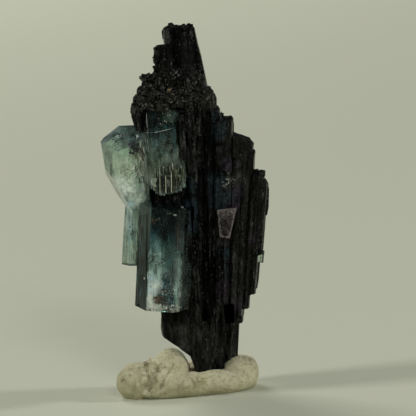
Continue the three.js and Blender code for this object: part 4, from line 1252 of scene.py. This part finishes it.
def granular(points, size, seed):
    """Rounded grains and pits, -0.5 to 0.5, at each point in millimetres."""
    shift = Vector((seed, 2.3 * seed, -seed))
    return np.array([0.45 - noise.voronoi(Vector(p) / size + shift)[0][0] for p in points])


def column_levels(z0, z1, taper, rng):
    """The heights of a column's rings, far apart where it is striated and close where it is granular."""
    levels = [z0]
    while levels[-1] < z1 - 0.6:
        last = levels[-1]
        levels.append(last + (0.3 if last > GRANULAR_FROM else rng.uniform(1.8, 3.4)))
        if last < GRANULAR_FROM - 0.5 and levels[-1] > GRANULAR_FROM:
            levels[-1] = GRANULAR_FROM + 0.01
    while len(levels) > 1 and levels[-1] > z1 - 0.3 - taper:
        levels.pop()
    return [*levels, z1 - taper]


def column_sides(points, outward, profiles, levels, depth, z0, z1, rng):
    """A ring of points at each level, pushed out and in by grooves and, near the bundle's top, grains."""
    seed = rng.uniform(0, 50)
    first, second = profiles
    rings = []
    for z in levels:
        share = np.clip((z - z0) / max(z1 - z0, 1), 0, 1)
        height = np.full(len(points), z)
        groove = first * (1 - share) + second * share + 0.25 * depth * rng.uniform(-1, 1)
        if z > GRANULAR_FROM:
            amount = 0.13 * min(1, (z - GRANULAR_FROM) / 2)
            groove = groove + amount * granular(np.column_stack([points, height]), 0.42, seed)
        rings.append(np.column_stack([points + outward * groove[:, None], height]))
    return rings


def column_top(points, middle, z1, lean, broken, taper, rng):
    """Rings that close a column with an uneven, leaning top."""
    count = len(points)
    rings = []
    for inset in (0.93, 0.7, 0.38):
        flat = middle + (points - middle) * (inset - 0.25 * min(1, taper))
        coarse = np.repeat(rng.uniform(-1, 1, count // 4 + 1), 4)[:count]
        top = z1 + (flat - middle) @ lean + broken * coarse - (0.02 if inset > 0.9 else 0.06)
        rings.append(np.column_stack([flat, top - taper * 0.6 * (inset - 0.38)]))
    return rings


def column_mesh(corners, z0, z1, lean, rng, spacing=0.2, depth=0.09, broken=0.12, taper=0.0):
    """A closed striated column with a broken, uneven top. It turns granular near the bundle's top."""
    points, outward, profiles = striated(corners, spacing, rng, depth)
    middle = corners.mean(0)
    lean = np.array(lean)
    count = len(points)
    levels = column_levels(z0, z1, taper, rng)
    rings = column_sides(points, outward, profiles, levels, depth, z0, z1, rng)
    rings[-1][:, 2] += (rings[-1][:, :2] - middle) @ lean - 0.12
    rings += column_top(points, middle, z1, lean, broken, taper, rng)
    verts = np.vstack([*rings, [[*middle, z0]], [[*middle, z1 - 0.05]]])
    low, high, last = len(rings) * count, len(rings) * count + 1, (len(rings) - 1) * count
    faces = []
    for a in range(0, last, count):
        for i in range(count):
            j = (i + 1) % count
            faces.append((a + i, a + j, a + count + j, a + count + i))
    for i in range(count):
        j = (i + 1) % count
        faces.append((low, j, i))
        faces.append((high, last + i, last + j))
    return verts, faces


def thin_rib(x, y, z0, z1, radius, turn, slant=(0.8, 0.8)):
    """A plain thin prism with five sides and a slanting, pointed top."""
    angles = turn + np.arange(5) / 5 * 2 * math.pi
    ring = np.column_stack([radius * np.cos(angles), radius * np.sin(angles)])
    shoulder = z0 + min(1.2, (z1 - z0) / 3)
    levels = ((0.6, z0), (1, shoulder), (1, z1 - 0.5 + ring @ np.array(slant)), (0.3, z1))
    rings = [np.column_stack([ring * scale + (x, y), np.zeros(5) + z]) for scale, z in levels]
    verts = np.vstack(rings)
    faces = [(4, 3, 2, 1, 0), (15, 16, 17, 18, 19)]
    for r in range(3):
        for i in range(5):
            j = (i + 1) % 5
            faces.append((5 * r + i, 5 * r + j, 5 * r + 5 + j, 5 * r + 5 + i))
    return verts, faces


def fanned(part):
    """A part of the bundle, spread as the bundle fans out towards its top."""
    verts, faces = part
    spread = 1 + FAN["rate"] * (verts[:, 2] - FAN["level"])
    moved = verts.copy()
    moved[:, 0] = FAN["x"] + (verts[:, 0] - FAN["x"]) * spread
    moved[:, 1] = FAN["y"] + (verts[:, 1] - FAN["y"]) * spread
    return moved, faces


def slab_mesh(outline, ys):
    """A closed prism on an outline in XZ, between two places in y."""
    count = len(outline)
    verts = [(x, y, z) for y in ys for x, z in outline]
    area = sum(a[0] * b[1] - b[0] * a[1] for a, b in zip(outline, outline[1:] + outline[:1]))
    order = list(range(count)) if area > 0 else list(range(count))[::-1]
    faces = [tuple(order), tuple(count + i for i in reversed(order))]
    for k in range(count):
        i, j = order[k], order[(k + 1) % count]
        faces.append((j, i, count + i, count + j))
    return np.array(verts, float), faces


def stout_rib(corners, low, high, random, rng):
    """A five-sided column that stands out of a larger one's side."""
    x, y = corners[int(random() * len(corners))]
    radius = 0.22 + 0.24 * random()
    start = low + (high - low) * 0.55 * random()
    end = max(high - 0.6 - (high - low) * 0.4 * random(), start + 1.5)
    turn = random() * math.pi
    angles = [turn + k / 5 * 2 * math.pi for k in range(5)]
    ring = [(x + radius * math.cos(angle), y + radius * math.sin(angle)) for angle in angles]
    slant = (2.4 * random() - 1.2, 1.2 * random())
    return column_mesh(np.array(ring), start, end, slant, rng, spacing=0.16, depth=0.03, broken=0.04)


def big_columns(random, rng):
    """The bundle's columns and the ribs that stand out of them."""
    parts = []
    for xs, ys, (low, high), lean in COLUMNS:
        corners = section(xs, ys, random)
        upper = low > 37 or high > 44.3 and xs[0] < -1
        front = ys[1] < 0 and not upper and high > 26
        parts.append(column_mesh(corners, low, high, lean, rng, broken=0.25 if upper else 0.12,
                                 taper=1.1 if front else 0))
        parts += [stout_rib(corners, low, high, random, rng) for _ in range(RIBS_PER_COLUMN)]
    return [fanned(part) for part in parts]


def coarse_grains(random, rng):
    """The larger grains of the ledge and of broken tops."""
    parts = []
    for at, spread, number in GRAIN_PATCHES:
        for _ in range(number):
            size = (0.5 + 0.5 * random(), 0.5 + 0.5 * random(), 0.4 + 0.5 * random())
            tilt = (0.8 * random() - 0.4, 0.8 * random() - 0.4, math.pi * random())
            place = [middle + half * (2 * random() - 1) for middle, half in zip(at, spread)]
            parts.append(grain_mesh(size, tilt, place, rng))
    return parts


def thin_ribs(rng):
    """Thin prisms along the columns, which give them their fine striation."""
    parts = []
    for xs, ys, (low, high), _ in COLUMNS:
        corners = section(xs, ys, rng.random)
        for _ in range(THIN_RIBS_PER_COLUMN):
            k = rng.integers(len(corners))
            x, y = corners[k] + (corners[(k + 1) % len(corners)] - corners[k]) * rng.random()
            start = low + (high - low) * 0.7 * rng.random()
            if rng.random() < 0.6:
                end = min(start + rng.uniform(1.6, 5.5), high)
            else:
                end = start + (high - start) * rng.uniform(0.35, 0.97)
            if end - start > 1.5:
                parts.append(fanned(thin_rib(x, y, start, end, rng.uniform(0.12, 0.42), rng.uniform(0, 2))))
    return parts


def crust_grains(rng):
    """The small broken grains, made from a few kinds in many sizes."""
    kinds = [grain_mesh((1, 1, 0.9), (0.3 * i, 0.2 * i, i), (0, 0, 0), rng) for i in range(CRUST_KINDS)]
    parts = []
    for at, spread, number in CRUST_PATCHES:
        for _ in range(number):
            verts, faces = kinds[rng.integers(CRUST_KINDS)]
            place = np.array(at) + np.array(spread) * rng.uniform(-1, 1, 3)
            parts.append((verts * rng.uniform(0.25, 0.62, 3) + place, faces))
    return parts


def reaches(verts, box):
    """Whether a part's own box meets another box."""
    return bool(np.all(verts.min(0) < box[1]) and np.all(verts.max(0) > box[0]))


def build_schorl(cutters):
    """cutters: (object, box) of each place where the bundle is cut away."""
    random = sequence(SEEDS["schorl_as_in_cad"])
    rng = np.random.default_rng(SEEDS["schorl"])
    parts = big_columns(random, rng) + coarse_grains(random, rng)
    parts += thin_ribs(rng)
    parts += crust_grains(rng)
    left = []
    for verts, faces in parts:
        near = [cutter for cutter, box in cutters if reaches(verts, box)]
        part = boolean(verts, faces, near) if near else (verts, faces)
        if len(part[0]):
            left.append(part)
    verts, faces = joined(left)
    low, high = [np.array(corner) / MM - SHIFT for corner in cad_box]
    return np.clip(verts, low + BOX_GAP, high - BOX_GAP), faces


def flake_mesh(cells=16):
    """The flake as a thin closed slab with a bevelled rim and a cleaved, stepped front."""
    rng = np.random.default_rng(21)
    top_left, low_left, low_right, top_right = np.array(FLAKE["outline"])
    near, far = FLAKE["y"]
    front, back = [], []
    for r in range(cells + 1):
        for c in range(cells + 1):
            s, t = c / cells, r / cells
            x, z = (low_left * (1 - s) + low_right * s) * (1 - t) + (top_left * (1 - s) + top_right * s) * t
            at_rim = r in (0, cells) or c in (0, cells)
            step = round(2.2 * noise.noise(Vector((1.3 * x, 4, 1.1 * z)))) * 0.09
            sink = 0.16 if at_rim else 0.06 + step + 0.03 * rng.random()
            front.append((x, near + max(0.0, sink), z))
            back.append((x, far, z))
    return np.array(front + back), [face[::-1] for face in grid_faces(cells)]


# The putty's pressed lobes: middle, half sizes and turn in degrees.
LOBES = [
    ((-7.3, -4.2, 2.1), (3.2, 3.2, 2.9), 20),
    ((-4.9, -4.5, 2.2), (2.5, 2.9, 3.1), -10),
    ((-2.6, -2.4, 3.0), (2.7, 3.2, 3.6), -15),
    ((-2.0, -4.9, 1.4), (6.2, 2.9, 2.2), 4),
    ((3.6, -3.4, 1.2), (5.2, 2.8, 2.0), 14),
    ((7.3, -0.2, 1.9), (2.8, 4.0, 3.0), -12),
    ((3.4, 2.8, 1.4), (6.0, 3.0, 2.6), -8),
    ((-2.4, 1.4, 1.3), (5.4, 3.6, 2.5), 24),
    ((2.6, -0.4, 0.6), (5.6, 4.6, 1.7), 0),
]
# Creases pressed into the putty's front, as points in x and z, with each one's width and depth.
CREASES = [
    ([(-6.0, 1.2), (-5.7, 2.4), (-5.5, 4.0), (-6.2, 5.2)], 0.4, 0.32),
    ([(-5.0, 4.9), (-4.1, 3.9), (-3.9, 2.6)], 0.25, 0.22),
    ([(-7.0, 0.9), (-6.3, 1.9), (-6.9, 3.0)], 0.22, 0.14),
    ([(-4.6, 1.2), (-3.2, 2.6), (-1.2, 4.2)], 0.2, 0.2),
    ([(-1.5, 3.6), (0.3, 3.1), (1.2, 1.9)], 0.18, 0.16),
    ([(0.2, 3.2), (1.2, 2.0), (2.4, 2.6)], 0.2, 0.15),
    ([(7.9, 4.6), (8.5, 2.8), (8.3, 1.0)], 0.3, 0.15),
    ([(-8.4, 3.6), (-7.6, 2.4), (-7.7, 1.0)], 0.25, 0.1),
    ([(-6.3, 5.0), (-5.8, 3.6), (-5.9, 2.2), (-5.4, 1.0)], 0.16, 0.32),
    ([(-5.0, 0.9), (-4.3, 2.2), (-3.0, 3.6), (-1.7, 5.0)], 0.11, 0.17),
    ([(-4.5, 1.5), (-3.5, 3.0), (-2.3, 4.3)], 0.1, 0.14),
    ([(1.2, 2.9), (2.3, 2.5), (3.4, 2.7)], 0.13, 0.24),
    ([(2.2, 2.5), (1.6, 1.7), (1.9, 1.1)], 0.12, 0.22),
    ([(0.8, 1.5), (2.2, 0.9)], 0.12, 0.16),
    ([(8.7, 4.4), (9.0, 3.2), (8.8, 1.8)], 0.12, 0.18),
    ([(-7.2, 4.4), (-6.6, 3.6), (-6.9, 2.8)], 0.12, 0.16),
]
PUTTY_GRID = 0.15
PUTTY_SMOOTHINGS = 7


def to_segment(points, a, b):
    """How far each point is from a straight piece of a line."""
    a, b = np.array(a), np.array(b)
    along = np.clip(((points - a) @ (b - a)) / ((b - a) @ (b - a)), 0, 1)
    return np.linalg.norm(points - (a + along[:, None] * (b - a)), axis=1)


def pressed_lobes():
    """The dented lobes and the nodules, as balls that run into each other."""
    random = sequence(9)
    bm = bmesh.new()
    for at, half, turn in LOBES:
        phase = [2 * math.pi * random() for _ in range(3)]
        spin = Matrix.Rotation(math.radians(turn), 3, "Z")
        for v in bmesh.ops.create_icosphere(bm, subdivisions=5, radius=1.0)["verts"]:
            dents = (math.sin(3 * v.co.x + phase[0]) * math.sin(3 * v.co.y + phase[1])
                     * math.sin(2.4 * v.co.z + phase[2]))
            v.co = spin @ Vector([c * (1 + 0.07 * dents) * h for c, h in zip(v.co, half)]) + Vector(at)
    for px, py, y, radius in PUTTY_NODULES:
        for v in bmesh.ops.create_icosphere(bm, subdivisions=4, radius=radius)["verts"]:
            swell = 1 + 0.18 * noise.noise(v.co * 2.2 + Vector((px, py, 0)))
            v.co = v.co * swell + Vector(seen(px, py, y))
    return taken(bm)


def one_lump(verts, faces):
    """The same shape as one smooth closed skin, in the scene's metres."""
    obj = add_object("putty_work", verts, faces, BLANK, None)
    remesh = obj.modifiers.new("one_lump", "REMESH")
    remesh.mode = "VOXEL"
    remesh.voxel_size = PUTTY_GRID * MM
    bm = bmesh.new()
    bm.from_mesh(evaluated(obj))
    every_way = {"use_axis_x": True, "use_axis_y": True, "use_axis_z": True}
    for _ in range(PUTTY_SMOOTHINGS):
        bmesh.ops.smooth_vert(bm, verts=bm.verts, factor=0.5, **every_way)
    bm.normal_update()
    return bm


def putty_relief(verts, normals):
    """How far each point is moved along its normal: unevenness, creases in front, and pits."""
    offset = np.array([0.10 * noise.fractal(Vector(p) * 0.55, 1.0, 2.0, 4)
                       + 0.05 * noise.fractal(Vector(p) * 1.7, 0.9, 2.0, 3)
                       + 0.022 * noise.fractal(Vector(p) * 4.2, 0.9, 2.0, 2) for p in verts])
    front = normals[:, 1] < 0.2
    for line, width, depth in CREASES:
        gap = np.min([to_segment(verts[:, [0, 2]], a, b) for a, b in zip(line, line[1:])], axis=0)
        offset -= np.where(front, depth * np.exp(-((gap / width) ** 2)), 0)
    for px, py, y, radius in PUTTY_PITS:
        gap = np.linalg.norm(verts - seen(px, py, y), axis=1)
        offset -= 0.9 * radius * np.exp(-((gap / (1.2 * radius)) ** 2))
    return offset


def build_putty():
    """The putty as one pressed lump, cut flat underneath."""
    bm = one_lump(*pressed_lobes())
    verts = np.array([v.co for v in bm.verts]) / MM - SHIFT
    normals = np.array([v.normal for v in bm.verts])
    moved = verts + normals * putty_relief(verts, normals)[:, None]
    for v, place in zip(bm.verts, moved):
        v.co = Vector(place)
    cut_away(bm, (0, 0, 0), (0, 0, -1))
    return taken(bm)


# Putting it together
CONTACT = -0.04  # how far the schorl's sockets are smaller than the crystals in them
# How far each crystal's edges are worn, in millimetres, and the seed of each piece's random numbers.
WORN = {"upper": 0.06, "lower": 0.06, "left": 0.07, "back": 0.05, "small": 0.04}
SEEDS = {"schorl_as_in_cad": 71, "schorl": 5, "lower": 11, "upper": 12, "back": 13, "left": 15}
AQUA_TINT, AQUA_DENSITY = (0.30, 0.70, 0.74), 200
PALE_TINT, PALE_DENSITY = (0.54, 0.80, 0.72), 90


def dress(name, mesh, material, node, inside=()):
    """The finished piece that is seen in place of a CAD node."""
    obj = add_object(name, *mesh, material, inside=inside)
    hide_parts(node)
    return obj


def located(marks, place_of):
    """Marks with their places in the frame turned into layout points."""
    return [(place_of(*place), *rest) for place, *rest in marks]


def dress_schorl(sockets):
    """The schorl, cut away where the crystals sit and where it is broken."""
    breaks = [temporary(f"break_{i}", *slab_mesh(outline, ys)) for i, (outline, ys) in enumerate(BREAKS)]
    mesh = build_schorl(sockets + breaks)
    dress("schorl_bundle_striated", mesh, schorl_material(), "schorl_bundle")
    return breaks


def crystal_materials(stout):
    """The blue crystal of the lower prism, and the paler one of the others."""
    aqua = clear_material("aquamarine_clear", AQUA_TINT, AQUA_DENSITY, LOWER_AXIS, LOWER_LEVELS, LOWER_STRIPS,
                          located(LOWER_PATCHES, seen), [], 1.0, LOWER_MATTE)
    clouds = located(UPPER_PATCHES, seen) + located(LEFT_PATCHES, stout.under)
    pale = clear_material("aquamarine_pale", PALE_TINT, PALE_DENSITY, UPPER_AXIS, UPPER_LEVELS, UPPER_STRIPS,
                          clouds, located(LEFT_COATS, stout.under), 0.4, UPPER_MATTE)
    return aqua, pale


def crystal_meshes(low, high, lower_socket):
    """The crystals' outer shapes by name, and the hidden objects that joined and cut them."""
    left = temporary("left_worn", *polyhedron(LEFT, 0, WORN["left"]))
    teeth = ridges(high, UPPER_TEETH, TOOTH_OUT, "tooth")
    steps = ridges(low, LOWER_RIDGES, RIDGE_OUT, "ridge")
    chipped = chips(low, LOWER_CHIPS, CHIP_SIZE, "chip")
    pair = boolean(*polyhedron(UPPER, 0, WORN["upper"]), [left[0], *[tooth[0] for tooth in teeth]], "UNION")
    prism = boolean(*polyhedron(LOWER, 0, WORN["lower"]), [step[0] for step in steps], "UNION")
    meshes = {
        "upper_pair": boolean(*pair, [lower_socket]),
        "lower": boolean(*prism, [chip[0] for chip in chipped]),
        "back": boolean(*polyhedron(BACK, 0, WORN["back"]), [left[0], lower_socket]),
        "small": polyhedron(SMALL, 0, WORN["small"]),
    }
    return meshes, [left, *teeth, *steps, *chipped]


def dress_crystals(lower_socket):
    """The clear crystals. lower_socket is what the lower one's neighbours are cut by."""
    kinds = inclusion_materials()
    low, high, stout = [Inside(SEEDS[name], faces)
                        for name, faces in (("lower", LOWER), ("upper", UPPER), ("left", LEFT))]
    inside = {
        "lower": low.fill(LOWER_INSIDE, kinds),
        "upper_pair": high.fill(UPPER_INSIDE, kinds) + stout.fill(LEFT_INSIDE, kinds),
        "back": Inside(SEEDS["back"], BACK).fill(BACK_INSIDE, kinds),
        "small": (),
    }
    aqua, pale = crystal_materials(stout)
    meshes, tools = crystal_meshes(low, high, lower_socket)
    for kind, mesh in meshes.items():
        dress(f"aquamarine_{kind}_clear", mesh, aqua if kind == "lower" else pale, f"aquamarine_{kind}",
              inside[kind])
    return tools


def dress_putty():
    """The putty, with smooth shading."""
    putty = dress("putty_pressed", build_putty(), putty_material(), "putty_base")
    for polygon in putty.data.polygons:
        polygon.use_smooth = True


def main():
    sockets = [temporary(f"cut_{i}", *polyhedron(faces, CONTACT))
               for i, faces in enumerate([LOWER, UPPER, BACK, SMALL, LEFT])]
    tools = sockets + dress_schorl(sockets)
    tools += dress_crystals(sockets[0][0])
    dress("pale_flake_cleaved", flake_mesh(), flake_material(), "pale_flake")
    dress_putty()
    for obj, _ in tools:
        bpy.data.objects.remove(obj)


main()


# Floor and light, in metres and watts, apart from the floor, which is in millimetres
FLOOR_HALF = 2500
FLOOR_COLOUR = (0.63, 0.65, 0.505)
WORLD_COLOUR = (0.80, 0.82, 0.74)
WORLD_STRENGTH = 0.06
# Each light: its name, place, what it is aimed at, size, power and whether shiny faces mirror it.
LIGHTS = [
    ("soft_back", (-0.4, 0.95, 0.7), (-0.1, 0.5, 0), 0.5, 7.5, False),
    ("soft_left", (-0.5, -0.1, 0.42), (0, 0, 0.03), 0.14, 1.4, True),
    ("soft_front", (0.15, -0.7, 0.4), (0, 0, 0.02), 0.16, 1.4, True),
    ("soft_right", (0.5, 0.0, 0.3), (0, 0, 0.03), 0.08, 1.0, True),
]


def floor_material():
    n = Nodes("floor_pale")
    n.wear(Base_Color=rgba(FLOOR_COLOUR), Roughness=0.6)
    return n.material


def make_floor():
    corners = [(x * FLOOR_HALF, y * FLOOR_HALF, 0) for x, y in ((-1, -1), (1, -1), (1, 1), (-1, 1))]
    floor = add_object("floor", corners, [(0, 1, 2, 3)], floor_material(), None)
    floor.location = (-SHIFT[0] * MM, -SHIFT[1] * MM, 0)


def area_light(name, place, aim, size, power, mirrored):
    """A square light. One that isn't mirrored leaves no white glare on shiny faces."""
    light = bpy.data.lights.new(name, "AREA")
    light.shape = "RECTANGLE"
    light.size, light.size_y = size, size
    light.energy = power
    obj = bpy.data.objects.new(name, light)
    obj.location = place
    obj.visible_glossy = mirrored
    obj.rotation_mode = "QUATERNION"
    obj.rotation_quaternion = (Vector(aim) - Vector(place)).to_track_quat("-Z", "Y")
    bpy.context.scene.collection.objects.link(obj)


def dim_world():
    world = bpy.data.worlds.new("world")
    world.use_nodes = True
    background = world.node_tree.nodes["Background"].inputs
    background["Color"].default_value = rgba(WORLD_COLOUR)
    background["Strength"].default_value = WORLD_STRENGTH
    bpy.context.scene.world = world


make_floor()
for light in LIGHTS:
    area_light(*light)
dim_world()
bpy.context.scene.view_settings.view_transform = "Standard"
